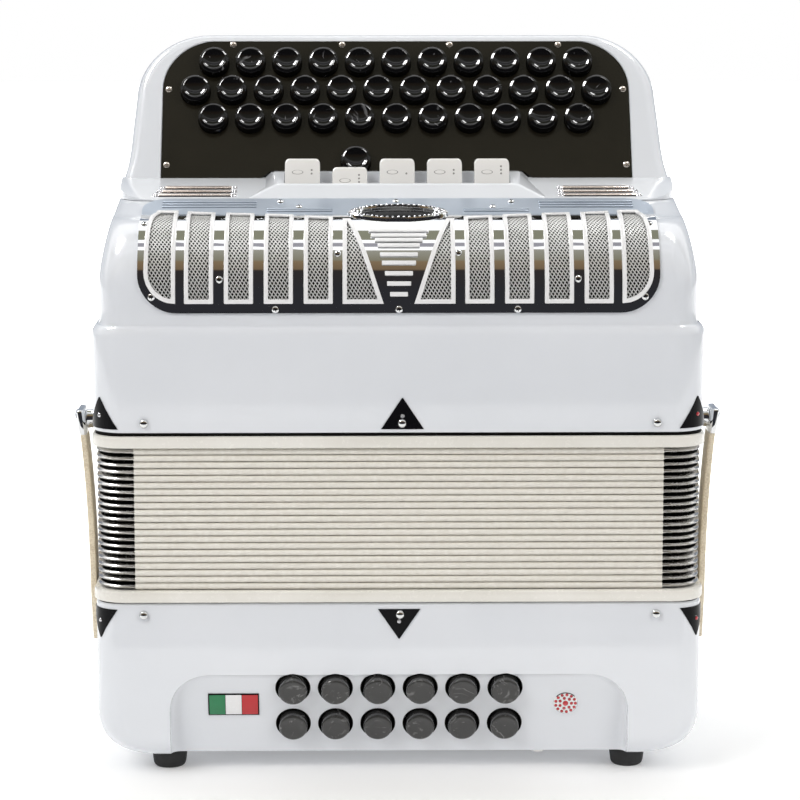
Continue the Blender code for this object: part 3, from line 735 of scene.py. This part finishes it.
def pleats():
    low, high, folds = 102.9, 178.7, 21
    pitch = (high - low) / folds
    fold = ((6.0, 6.0, 0.0), (1.0, 4.6, 0.08), (0.32, 1.3, 0.2), (0.06, 0.35, 0.34), (0, 0, 0.5))
    fold += ((0.06, 0.35, 0.66), (0.32, 1.3, 0.8), (1.0, 4.6, 0.92))
    outer, inner = [], []
    for i in range(folds):
        z = low + i * pitch
        outer += [(inset, cap, z + share * pitch) for inset, cap, share in fold]
        inner += [(8.0, 8.0, z), (3.0, 6.0, z + 0.5 * pitch)]
    outer.append((6.0, 6.0, high))
    inner.append((8.0, 8.0, high))
    bm = loft([[(x, y, z) for x, y in fold_outline(*ring)] for *ring, z in outer + inner[::-1]], closed=True)
    for face in bm.faces:
        center = face.calc_center_median()
        across, deep = abs(center.x), abs(center.y)
        if across > 139.4 and deep > 75.1:
            share = (center.z - low) / pitch % 1
            face.material_index = 1 if 0.14 < share < 0.86 else 2
    obj = finish_piece("bellows_pleats", bm, [TAPE, STEEL, GASKET], None, (), 50)
    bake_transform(obj)
    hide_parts("bellows")


def closing_straps():
    """A leather strap with a snap on each end wall, hinged on a small plate at its foot."""
    inner, low, high = 161.6, 68.5, 193.5
    middle = FRONT + 45
    for side, sign in (("left", -1), ("right", 1)):
        outline = [(-9.9, low), (9.9, low), *arc((0, high - 9.9), 9.9, 0, 180, 14)]
        band = soften(sheet(outline, 0.15, 3.3), 0.7, 2, 60)
        for i in range(16):
            score(band, low + (high - low) * (i + 0.5) / 16)
        for edge in (-7.6, 7.6):
            for i in range(32):
                y = low + 5 + i * 3.4
                stitch = block((edge - 0.25, edge + 0.25), (y - 0.95, y + 0.95), (3.2, 3.45))
                add_to(band, soften(stitch, 0.1, 1), material=1)
        clip = soften(block((-10.6, 10.6), (high - 13.5, high + 0.3), (-0.4, 3.9)), 1.6, 4)
        add_to(band, clip, material=2)
        snap = lathe([(0, 2.2), (2.6, 2.0), (4.6, 1.4), (5.8, 0.6), (6.2, 0.2), (6.2, -0.6), (0, -0.6)], 32)
        add_to(band, snap, Matrix.Translation((0, high - 6.6, 3.9)), 2)
        rivet = lathe([(0, 1.2), (1.6, 1.0), (2.3, 0.5), (2.5, 0), (2.5, -0.3), (0, -0.3)], 20)
        add_to(band, rivet, Matrix.Translation((0, low + 5, 3.2)), 2)
        for vert in band.verts:
            across, height, out = vert.co
            share = max(0.0, (height - low) / (high - low))
            reach = 0.9 * min(1.0, share / 0.2) + 6.0 * share**2.6
            vert.co = (sign * (inner + reach + out), middle + across, height)
        finish_piece(
            f"closing_strap_{side}", band, [BEIGE_HIDE, IVORY, CHROME], f"strap_{side}",
            [f"bellows_strap_{side}"],
        )
        stud = lathe([(0, 6.3), (4.6, 6.3), (5.2, 5.7), (5.2, 1.6), (5.6, 1.0), (5.6, -0.6), (0, -0.6)], 28)
        holder = bmesh.new()
        add_to(holder, stud, facing((sign * 161.3, middle, high - 5.6), (sign, 0, 0)))
        finish_piece(f"snap_stud_{side}", holder, [CHROME], TREBLE)
        plate = soften(block((-12.5, 12.5), (58, 67.6), (-0.4, 1.4)), 0.5, 2)
        for x in (-8, 8):
            add_to(plate, dome(1.8, 0.9, 14, 4), Matrix.Translation((x, 62.5, 1.3)))
        put(plate, facing((sign * BASS_HALF, middle, 0), (sign, 0, 0)))
        finish_piece(f"strap_plate_{side}", plate, [CHROME], BASS)


# ---------------------------------------------------------------- treble casing

TREBLE_HALF = 161.5
UPPER_HALF = 157.5

def treble_shell():
    rings = []

    def ring(half, front, back, radius, z):
        outline = rounded(half, FRONT + front, BACK - back, radius, 10)
        rings.append([(x, y, z) for x, y in outline])

    for inset, z in ((0.8, 187.0), (0.2, 187.3), (0, 188.0), (0, 215), (0, 238), (0.4, 240.2), (1.3, 241.9)):
        ring(TREBLE_HALF - inset, inset, inset, 17 - inset * 0.4, z)
    for inset, z in ((2.3, 242.9), (3.2, 243.2)):
        ring(TREBLE_HALF - inset, inset * 0.8, inset * 0.8, 16, z)
    ring(UPPER_HALF + 0.3, 2.8, 2.8, 15.2, 243.6)
    ring(UPPER_HALF, 3, 3, 15, 244.4)
    ring(UPPER_HALF, 3, 3, 15, 252)
    bend, bend_foot = 37, 259.6
    for i in range(19):
        angle = math.radians(5 * i)
        z = bend_foot + bend * math.sin(angle)
        ring(shoulder(z), 3 + bend * (1 - math.cos(angle)), 3, 15, z)
    for share in (0.25, 0.5, 0.75, 1.0):
        z = bend_foot + bend + 6.6 * share
        ring(shoulder(z), 3 + bend + 22 * share, 3, 15, z)
    finish_piece("treble_shell", loft(rings), [LACQUER], TREBLE, ["treble_casing"], 40)


def shoulder(z):
    """Half length of the upper step, whose ends draw in towards the fingerboard's neck."""
    rise = min(1.0, max(0.0, (z - 266) / 37.2))
    return UPPER_HALF - 7.0 * rise**1.3


def panel_outlines():
    """Outlines of the grille's openings on the right half, flat: X and the length up the grille."""
    outlines = [[(8.0, 5.0), (29.4, 5.0), (29.4, 57.4), (25.4, 57.4)]]
    for i in range(4):
        x, top = 34.5 + i * 20.75, 60.5 + i * 3.2
        outlines.append([(x, 5.0), (x + 15.2, 5.0), (x + 15.2, top + 2), (x, top)])
    corner = [(116.5, 5.0), *arc((116.5, 21.5), 16.5, -75, 0, 10)]
    corner += [(132.6, 46), (131.2, 60), (128.0, 73.5), (116.5, 73.2)]
    outlines.append(corner)
    return outlines


def both_sides(outlines):
    return outlines + [[(-x, y) for x, y in reversed(outline)] for outline in outlines]


def shrink(outline, width):
    """The outline's inner rim, made with the inset operator, as a list of points."""
    bm = bmesh.new()
    face = bm.faces.new([bm.verts.new((x, y, 0)) for x, y in outline])
    bm.normal_update()
    bmesh.ops.inset_region(bm, faces=[face], thickness=width, use_boundary=True, use_even_offset=True)
    points = [(vert.co.x, vert.co.y) for vert in face.verts]
    bm.free()
    return points


def grille_sheet():
    half, corner, deep = 136.3, 20.5, 92.8
    outline = mirrored([
        *arc((half - corner, corner), corner, -90, 0, 14),
        (half, 62), *arc((half - 14, deep - 14), 14, 0, 90, 10),
    ])
    cover = sheet(outline, -1.2, 0)
    openings = bmesh.new()
    for opening in both_sides(panel_outlines()):
        add_to(openings, sheet(shrink(opening, 1.2), -5, 5))
    cover = wrap(cut_from(cover, openings))
    for face in cover.faces:
        # Faces past the top of the bend take the deck's painted reflection tint.
        face.material_index = 1 if face.calc_center_median().y > GRILLE_AXIS[0] - 0.5 else 0
    finish_piece("grille_sheet", cover, [CHROME, DECK_PAINTED_REFLECTION], TREBLE, ["grille_cover"], 30)
    backing = sheet(shrink(outline, 2.5), -1.45, -1.25)
    finish_piece("grille_cloth", wrap(backing), [FELT], TREBLE)


def grille_frames():
    frames = bmesh.new()
    for outline in both_sides(panel_outlines()):
        outer = sheet(outline, 0, 1.3)
        inner = sheet(shrink(outline, 2.3), -2, 3)
        rim = soften(cut_from(outer, inner), 0.45, 2, 50)
        add_to(frames, wrap(rim))
    widths = (15.7, 14.6, 12.5, 11.0, 9.9, 8.9, 7.3, 6.3, 4.7)
    heights = (46.7, 43.0, 39.8, 36.3, 30.9, 26.3, 20.7, 15.4, 9.9)
    for half, along in zip(widths, heights):
        bar = soften(block((-half, half), (along - 1.15, along + 1.15), (-0.1, 1.1)), 0.4, 2)
        add_to(frames, wrap(bar, 0))
    finish_piece("grille_frames", frames, [FRAME_WHITE], TREBLE)


def grille_mesh():
    """Expanded metal: slanting diamonds cut to each opening."""
    lattice = bmesh.new()
    root = math.sqrt(2)
    slant = Matrix(((2.0 / root, -0.3, 0), (0, 3.0 / root, 0), (0, 0, 1))).to_4x4()
    for outline in both_sides(panel_outlines()):
        rim = shrink(outline, 1.8)
        cells = bmesh.new()
        bmesh.ops.create_grid(cells, x_segments=34, y_segments=34, size=17)
        put(cells, Matrix.Rotation(math.radians(45), 4, "Z"))
        put(cells, slant)
        across = sum(x for x, _ in rim) / len(rim)
        heights = [y for _, y in rim]
        put(cells, Matrix.Translation((across, (min(heights) + max(heights)) / 2, 0)))
        for before, point in zip(rim[-1:] + rim[:-1], rim):
            edge = Vector(point) - Vector(before)
            if edge.length < 1e-3:
                continue
            outward = Vector((edge.y, -edge.x)).normalized()
            far = [
                face for face in cells.faces
                if outward.dot(face.calc_center_median().xy - Vector(before)) > 0.9
            ]
            bmesh.ops.delete(cells, geom=far, context="FACES")
        bmesh.ops.inset_individual(cells, faces=cells.faces[:], thickness=0.25, use_even_offset=True)
        bmesh.ops.delete(cells, geom=[face for face in cells.faces if is_hole(face)], context="FACES_ONLY")
        bmesh.ops.solidify(cells, geom=cells.faces[:], thickness=0.5)
        put(cells, Matrix.Translation((0, 0, -0.4)))
        add_to(lattice, wrap(cells, 0))
    finish_piece("grille_mesh", lattice, [MESH_STEEL], TREBLE, (), 45)


def is_hole(face):
    """The middle that the inset leaves in each diamond is larger than any strand's face."""
    return all(len(edge.link_faces) == 2 for edge in face.edges) and face.calc_area() > 0.75


def grille_trim():
    """Pan-head screws, the ribs pressed in the deck, and the oval emblem."""
    spots = [(0, 1.9), (-64.5, 1.9), (62.0, 1.9), (-129, 8.5), (128.5, 8.5), (-93.6, 17.6), (93.4, 17.8)]
    spots += [(-32, 31.8), (31, 32.2), (-133.6, 53.7), (132.2, 53.7), (-62.9, 88), (-1, 88.5), (61, 88)]
    spots += [(-52.7, 80.5), (50.8, 80.5)]
    screws = bmesh.new()
    for x, along in spots:
        head = lathe([(0, 1.0), (0.9, 0.95), (1.6, 0.6), (1.95, 0.05), (1.95, -0.3), (0, -0.3)], 18)
        add_to(screws, head, grille_place(x, along))
        for turn in (0.4, 0.4 + math.pi / 2):
            slot = block((-1.1, 1.1), (-0.2, 0.2), (0.75, 1.03))
            add_to(screws, slot, grille_place(x, along) @ Matrix.Rotation(turn, 4, "Z"), 1)
    finish_piece("grille_screws", screws, [CHROME, GASKET], TREBLE)
    ribs = bmesh.new()
    for sign in (-1, 1):
        for low, high, lines in ((75.6, 126.0, (80.5, 84.0, 87.5)), (35.0, 70.0, (74.6, 77.2))):
            for along in lines:
                x = sorted((sign * low, sign * high))
                rib = soften(block(x, (along - 0.9, along + 0.9), (-0.3, 0.7)), 0.45, 3)
                add_to(ribs, wrap(rib, 0))
    # The ribs carry the same painted reflection tint as the deck.
    finish_piece("deck_ribs", ribs, [DECK_PAINTED_REFLECTION], TREBLE)
    middle, wide, long = 69.5, 27.0, 12.0

    def oval(share, out):
        angles = [math.tau * i / 56 for i in range(56)]
        return [(wide * share * math.cos(a), middle + long * share * math.sin(a), out) for a in angles]

    shape = [(1.0, -0.2), (1.0, 1.0), (0.97, 1.5), (0.84, 1.5), (0.81, 0.9)]
    shape += [(0.6, 1.9), (0.35, 2.5), (0.1, 2.7)]
    field = loft([oval(*pair) for pair in shape])
    for face in field.faces:
        x, y, z = face.calc_center_median()
        if z > 1.0 and math.hypot(x / wide, (y - middle) / long) < 0.82:
            face.material_index = 1
    wrap(field, 0)
    row = 0.905
    for i in range(52):
        angle = math.tau * i / 52
        x, along = wide * row * math.cos(angle), middle + long * row * math.sin(angle)
        add_to(field, dome(0.8, 0.6, 8, 3), grille_place(x, along, 1.4), 2)
    finish_piece("oval_emblem", field, [CHROME, ONYX, STONE_CLEAR], TREBLE)


# ---------------------------------------------------------------- fingerboard

BUTTON_ROWS = (11, 12, 11)
BUTTON_PITCH = 20.2
BUTTON_HOLE = 8.4
FIRST_ROW = 35.7
LOW_BUTTON = (-22.4, 9.3)
REGISTER_PITCH = 25.7
REGISTER_TRAVEL = 4.6
PRESSED_REGISTER = 2

def case_outline(inset, lift=0.0):
    """Front of the fingerboard case in its own plane; lift raises its top towards the back."""
    radius = 40.0 - inset
    top = 91.5 - inset + lift
    side = [(150.9, -20), (150.7, -6), (150.2, 0), (149.0, 5), (147.6, 11)]
    side += [(146.3, 21), (145.3, 35), (144.2, 48)]
    right = [(x - inset, y) for x, y in side]
    return mirrored(right + arc((143.8 - inset - radius, top - radius), radius, 0, 90, 14))


def plate_outline(grow):
    half, radius, top = 129 + grow, 30 + grow, 85.2 + grow
    right = [(half, -grow), *[(half, y) for y in (6, 12, 18, 24, 32, 40, 48)]]
    return mirrored(right + arc((half - radius, top - radius), radius, 0, 90, 14))


def fingerboard_shell():
    well = ((0.35, -4.0), (0.35, -0.5), (0.8, 0.0))
    rings = [[(x, y, out) for x, y in plate_outline(grow)] for grow, out in well]
    edge = ((6.4, 0.0), (4.4, -0.3), (2.7, -1.1), (1.3, -2.5), (0.4, -4.4), (0, -6.6), (0, -20), (0, -75))
    for inset, out in edge:
        lift = 0.378 * max(0.0, -out - 4)
        rings.append([(x, y, out) for x, y in case_outline(inset, lift)])
    case = put(loft(rings), plate_place(0, 0))
    cuts = (
        ((0, 0, 303.6), (0, 0, -1)),
        ((0, BACK - 3, 0), (0, 1, 0)),
        ((0, FRONT + 161.1, 387.5), (0, 52.5, 25.9)),
    )
    for point, normal in cuts:
        geometry = case.verts[:] + case.edges[:] + case.faces[:]
        made = bmesh.ops.bisect_plane(
            case, geom=geometry, dist=1e-5, plane_co=point, plane_no=normal, clear_outer=True
        )["geom_cut"]
        rim = [item for item in made if isinstance(item, bmesh.types.BMEdge)]
        bmesh.ops.holes_fill(case, edges=rim, sides=0)
    finish_piece("fingerboard_shell", case, [LACQUER], TREBLE, ["fingerboard_case"], 30)


def fingerboard_lip():
    front = FRONT + LIP_FRONT[0] + 0.1
    section = [(front, 303.5), (front, 304.0)]
    section += [(FRONT + 92.5, 313.3), (FRONT + 98, 313.3), (FRONT + 98, 303.5)]
    lip = extruded(section, LIP_HALF)
    corners = [
        edge for edge in lip.edges
        if all(vert.co.y < front + 0.1 for vert in edge.verts)
        and abs(edge.verts[0].co.x - edge.verts[1].co.x) < 1
    ]
    bmesh.ops.bevel(lip, geom=corners, offset=19, segments=10, affect="EDGES", profile=0.5, material=-1)
    finish_piece("fingerboard_lip", lip, [LACQUER], TREBLE, (), 30)


def register_ramp():
    """The raised bed of the registers, with a sunk channel; its top is narrower than its foot."""
    section = [(63.5, 304.2), (71.6, 311.5), (86.9, 317.1), (94.2, 317.1), (94.2, 304.2)]
    ramp = extruded([(FRONT + behind, z) for behind, z in section], 82)
    for vert in ramp.verts:
        if vert.co.z > 311:
            vert.co.x = math.copysign(65.0 if vert.co.y < FRONT + 75 else 68.0, vert.co.x)
    bmesh.ops.recalc_face_normals(ramp, faces=ramp.faces[:])
    soften(ramp, 1.6, 4, 15)
    channel = soften(block((-61.5, 61.5), (FRONT + 72.6, FRONT + 86.6), (305.4, 330)), 1.2, 3)
    notch = lathe([(0, 12), (BUTTON_HOLE, 12), (BUTTON_HOLE, -14), (0, -14)], 40)
    ramp = cut_from(cut_from(ramp, channel), put(notch, plate_place(*LOW_BUTTON)))
    finish_piece("register_ramp", ramp, [LACQUER], TREBLE, (), 30)


def button_spots():
    """Each treble button's number, and its place across and up the plate."""
    spots = [("0_1", *LOW_BUTTON)]
    for row, count in enumerate(BUTTON_ROWS, 1):
        for i in range(count):
            up = FIRST_ROW + (row - 1) * BUTTON_PITCH * math.sin(math.radians(60))
            spots.append((f"{row}_{i + 1}", (i - (count - 1) / 2) * BUTTON_PITCH, up))
    return spots


def fingerboard_plate():
    plate = sheet(plate_outline(0), -1.5, -0.1)
    holes = bmesh.new()
    for _, x, up in button_spots():
        hole = lathe([(0, 4), (BUTTON_HOLE, 4), (BUTTON_HOLE, -4), (0, -4)], 40)
        add_to(holes, hole, Matrix.Translation((x, up, 0)))
    foot = sheet([(-82, -5), (82, -5), (69, 4.4), (-69, 4.4)], -5, 5)
    plate = soften(cut_from(cut_from(plate, foot), holes), 0.22, 1, 60)
    put(plate, plate_place(0, 0))
    finish_piece("fingerboard_plate", plate, [PLATE_BLACK], TREBLE, ["button_plate"])
    bed = put(sheet(plate_outline(0.2), -3.9, -3.4), plate_place(0, 0))
    finish_piece("plate_felt", bed, [FELT], TREBLE)
    screws = bmesh.new()
    spots = mirrored([(-90.7, 83), (-30, 83), (-126, 55), (-126.3, 8.3)])
    for x, up in spots:
        place = plate_place(x, up, -0.1)
        head = lathe([(0, 0.85), (0.9, 0.78), (1.5, 0.5), (1.85, 0.05), (1.85, -0.3), (0, -0.3)], 16)
        add_to(screws, head, place)
        add_to(screws, block((-1.2, 1.2), (-0.16, 0.16), (0.62, 0.9)), place, 1)
    finish_piece("plate_screws", screws, [NICKEL, GASKET], TREBLE)


def treble_pearls():
    """Turned buttons with a rounded shoulder and a dished top."""
    profile = [(0, 4.3), (2.2, 4.4), (3.8, 4.75), (5.0, 5.2), (5.85, 5.68), (6.2, 5.92), (6.4, 6.0)]
    profile += [(6.58, 5.95), (6.7, 5.89), (7.8, 5.33), (7.95, 5.22), (8.1, 4.85), (8.1, 3.0)]
    profile += [(8.1, -0.4), (7.9, -2.6), (2.4, -2.8), (2.4, -14), (0, -14)]
    for name, x, up in button_spots():
        pearl = put(lathe(profile, 36), plate_place(x, up))
        stands_for = [f"treble_button_{name}"]
        finish_piece(f"pearl_{name}", pearl, [BUTTON_PEARL], f"key_{name}", stands_for, 50)


def register_tabs():
    """Caps with rounded top corners, each with a plain oval ring and one to three dots."""
    outline = [(-8.0, 2.5), (-8.0, 16.3), (-7.3, 17.2), (-5.7, 16.9), (-5.4, 9.0)]
    outline += [(1.6, 6.6), (1.6, 4.6), (-1.6, 4.4), (-5.6, 2.5)]
    face_y = outline[0][0]
    turn = Matrix.Rotation(math.radians(-22), 4, "X")
    for number in range(1, 6):
        tab = extruded(outline, 9.5)
        shoulders = [
            edge for edge in tab.edges
            if all(vert.co.z > 16 for vert in edge.verts)
            and abs(edge.verts[0].co.x - edge.verts[1].co.x) < 0.1
        ]
        bmesh.ops.bevel(
            tab, geom=shoulders, offset=2.3, segments=5, affect="EDGES", profile=0.5, material=-1,
            clamp_overlap=True,
        )
        soften(tab, 0.5, 3, 25)
        for radius, out, finish in ((3.1, 0.1, 1), (2.7, 0.16, 0)):
            rim = [(radius - 0.1, out), (radius, out - 0.08), (radius, -0.3)]
            oval = lathe([(0, out), *rim, (0, -0.3)], 28)
            bmesh.ops.scale(oval, vec=(1, 0.4, 1), verts=oval.verts[:])
            add_to(tab, oval, facing((-2.6, face_y, 9.2), (0, -1, 0)), finish)
        for i in range(number % 3 + 1):
            dot = lathe([(0, 0.15), (0.45, 0.15), (0.55, 0.05), (0.55, -0.3), (0, -0.3)], 12)
            add_to(tab, dot, facing((5.0, face_y, 8.4 + 2.0 * i), (0, -1, 0)), 1)
        drop = REGISTER_TRAVEL if number == PRESSED_REGISTER else 0.0
        spot = ((number - 3) * REGISTER_PITCH, FRONT + 80, 306.2 - drop)
        put(tab, Matrix.Translation(spot) @ turn)
        finish_piece(
            f"register_cap_{number}", tab, [IVORY, GREY_INK], f"register_tab_{number}",
            [f"register_{number}"],
        )


def lip_strips():
    """Three metal bars with small stones at their ends, on each side of the lip; a thin dark strip under
    each bar is painted shadow.
    """
    strips = bmesh.new()
    for sign in (-1, 1):
        for i, behind in enumerate((68.2, 73.3, 78.4)):
            inner, outer = 90.0, 129.2 - i * 1.7
            x = sorted((sign * inner, sign * outer))
            place = lip_place(0, behind)
            # Painted shadow: a slightly wider, thin dark strip under the bar, in the black gasket finish.
            add_to(strips, soften(block(x, (-2.0, 1.5), (-0.3, 0.25)), 0.15, 1), place, 2)
            add_to(strips, soften(block(x, (-1.2, 1.4), (-0.3, 0.9)), 0.45, 3), place)
            for end in (inner - 0.8, inner - 2.4, outer + 0.8, outer + 2.4):
                for shift in (-0.9, 0.9):
                    add_to(strips, dome(0.8, 0.7, 10, 3), lip_place(sign * end, behind + shift), 1)
    finish_piece("lip_strips", strips, [ROSE_GOLD, STONE_CLEAR, GASKET], TREBLE)


# ---------------------------------------------------------------- light, floor and camera


def area_light(name, place, target, size, power, along=(0, 0, 1)):
    """A rectangular light; its second size lies along the given direction."""
    data = bpy.data.lights.new(name, "AREA")
    data.shape = "RECTANGLE"
    data.size, data.size_y = size
    data.energy = power
    obj = bpy.data.objects.new(name, data)
    bpy.context.scene.collection.objects.link(obj)
    obj.matrix_world = facing(place, Vector(place) - Vector(target), along)
    return obj


def studio_sky():
    """Soft light all round: dim ahead, warm above, and bright bands overhead and behind."""
    world = bpy.data.worlds.new("studio")
    world.use_nodes = True
    bpy.context.scene.world = world
    tree = world.node_tree
    background = tree.nodes["Background"]
    place = node(tree, "ShaderNodeTexCoord")
    split = node(tree, "ShaderNodeSeparateXYZ")
    tree.links.new(place.outputs["Generated"], split.inputs["Vector"])
    forward = math_node(tree, "MULTIPLY", split.outputs["Y"], -1.0)
    turn = math_node(tree, "ARCTAN2", split.outputs["Z"], forward)
    share = math_node(tree, "DIVIDE", turn, math.pi)
    ramp = node(tree, "ShaderNodeValToRGB")
    ramp.color_ramp.interpolation = "LINEAR"
    bands = (
        (0.0, (0.03, 0.03, 0.035)), (32, (0.035, 0.03, 0.03)), (34.5, (0.21, 0.145, 0.085)),
        (47, (0.27, 0.19, 0.11)), (49.5, (0.28, 0.26, 0.19)), (66.5, (0.38, 0.37, 0.31)),
        (67.5, (1.5, 1.5, 1.5)), (72.5, (1.5, 1.5, 1.5)), (73.5, (0.40, 0.39, 0.43)),
        (80, (0.40, 0.39, 0.43)), (81, (1.5, 1.5, 1.5)), (86, (1.5, 1.5, 1.5)), (87, (0.30, 0.30, 0.22)),
        (107, (0.30, 0.30, 0.22)), (109, (1.6, 1.6, 1.6)), (136, (1.6, 1.6, 1.6)),
        (139, (0.26, 0.30, 0.37)), (180, (0.40, 0.44, 0.50)),
    )
    stops = ramp.color_ramp.elements
    while len(stops) < len(bands):
        stops.new(0.5)
    for stop, (degrees, color) in zip(stops, bands):
        stop.position = degrees / 180
        stop.color = (*color, 1)
    tree.links.new(share, ramp.inputs["Fac"])
    path = node(tree, "ShaderNodeLightPath")
    mix = node(tree, "ShaderNodeMix", data_type="RGBA")
    mix.inputs["B"].default_value = (1, 1, 1, 1)
    tree.links.new(path.outputs["Is Camera Ray"], mix.inputs["Factor"])
    tree.links.new(ramp.outputs["Color"], mix.inputs["A"])
    tree.links.new(mix.outputs["Result"], background.inputs["Color"])


def floor_tone():
    """Pale floor that brightens to plain white towards the back."""
    tone = polished("studio_floor", ((0.88, 0.88, 0.88), (0.91, 0.91, 0.91)), (0.5, 0.65), scale=3.0)
    tree = tone.node_tree
    shader = tree.nodes["Principled BSDF"]
    split = node(tree, "ShaderNodeSeparateXYZ")
    glow = node(tree, "ShaderNodeMapRange", {"From Min": -0.25, "From Max": 0.9})
    tree.links.new(node(tree, "ShaderNodeTexCoord").outputs["Object"], split.inputs["Vector"])
    tree.links.new(split.outputs["Y"], glow.inputs["Value"])
    tree.links.new(glow.outputs["Result"], shader.inputs["Emission Strength"])
    shader.inputs["Emission Color"].default_value = (1, 1, 1, 1)
    return tone


def studio():
    ground = bmesh.new()
    bmesh.ops.create_grid(ground, x_segments=1, y_segments=1, size=4000)
    bmesh.ops.translate(ground, verts=ground.verts[:], vec=(0, 3250, 0))
    finish_piece("studio_floor", ground, [floor_tone()], None)
    studio_sky()
    middle, top = (0, 0, 0.2), (0, 0, 0.35)
    soft = (
        area_light("key", (-1.3, -1.5, 1.5), middle, (1.1, 1.1), 25.5),
        area_light("fill", (1.4, -1.4, 1.1), middle, (1.1, 1.1), 15.5),
        area_light("top", (0, 0.6, 2.0), middle, (1.8, 1.0), 5),
    )
    for light in soft:
        light.visible_glossy = False
    shine = (
        area_light("strip_left", (-1.28, 0.065, 2.14), top, (0.4, 0.8), 90, (-0.62, -0.67, -0.42)),
        area_light("strip_right", (0.89, 0.38, 2.32), top, (0.3, 0.6), 16, (-0.82, 0.5, 0.27)),
    )
    for light in shine:
        light.visible_diffuse = False
    bpy.context.scene.view_settings.view_transform = "Standard"
    data = bpy.data.cameras.new("camera")
    data.lens = 133.3
    data.sensor_width = 36
    camera = bpy.data.objects.new("camera", data)
    camera.location = (-0.0209, -1.6258, 0.4470)
    camera.rotation_euler = (math.radians(81), 0, math.radians(-0.8))
    bpy.context.scene.collection.objects.link(camera)
    bpy.context.scene.camera = camera


bass_shell()
bass_hole_liners()
bass_buttons()
air_peg()
rubber_feet()
hand_strap()
body_trim("bass", 92.6, 76.6, (1, 1, 2), 89.6, (-134.9, 0.5, 136.2), BASS, BASS_HALF, 15, 0.0)
plaque()
frames_and_gaskets()
pleats()
closing_straps()
treble_shell()
body_trim("treble", 189.1, 205.6, (1, 1, 2), 192.3, (-133.6, 1.6, 135.5), TREBLE, TREBLE_HALF, 17, 1.8)
grille_sheet()
grille_frames()
grille_mesh()
grille_trim()
fingerboard_shell()
fingerboard_lip()
register_ramp()
fingerboard_plate()
treble_pearls()
register_tabs()
lip_strips()
for reed_block in ("bass_reed_block", "treble_reed_block"):
    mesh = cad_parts[reed_block].data
    mesh.materials.clear()
    mesh.materials.append(WOOD)
studio()
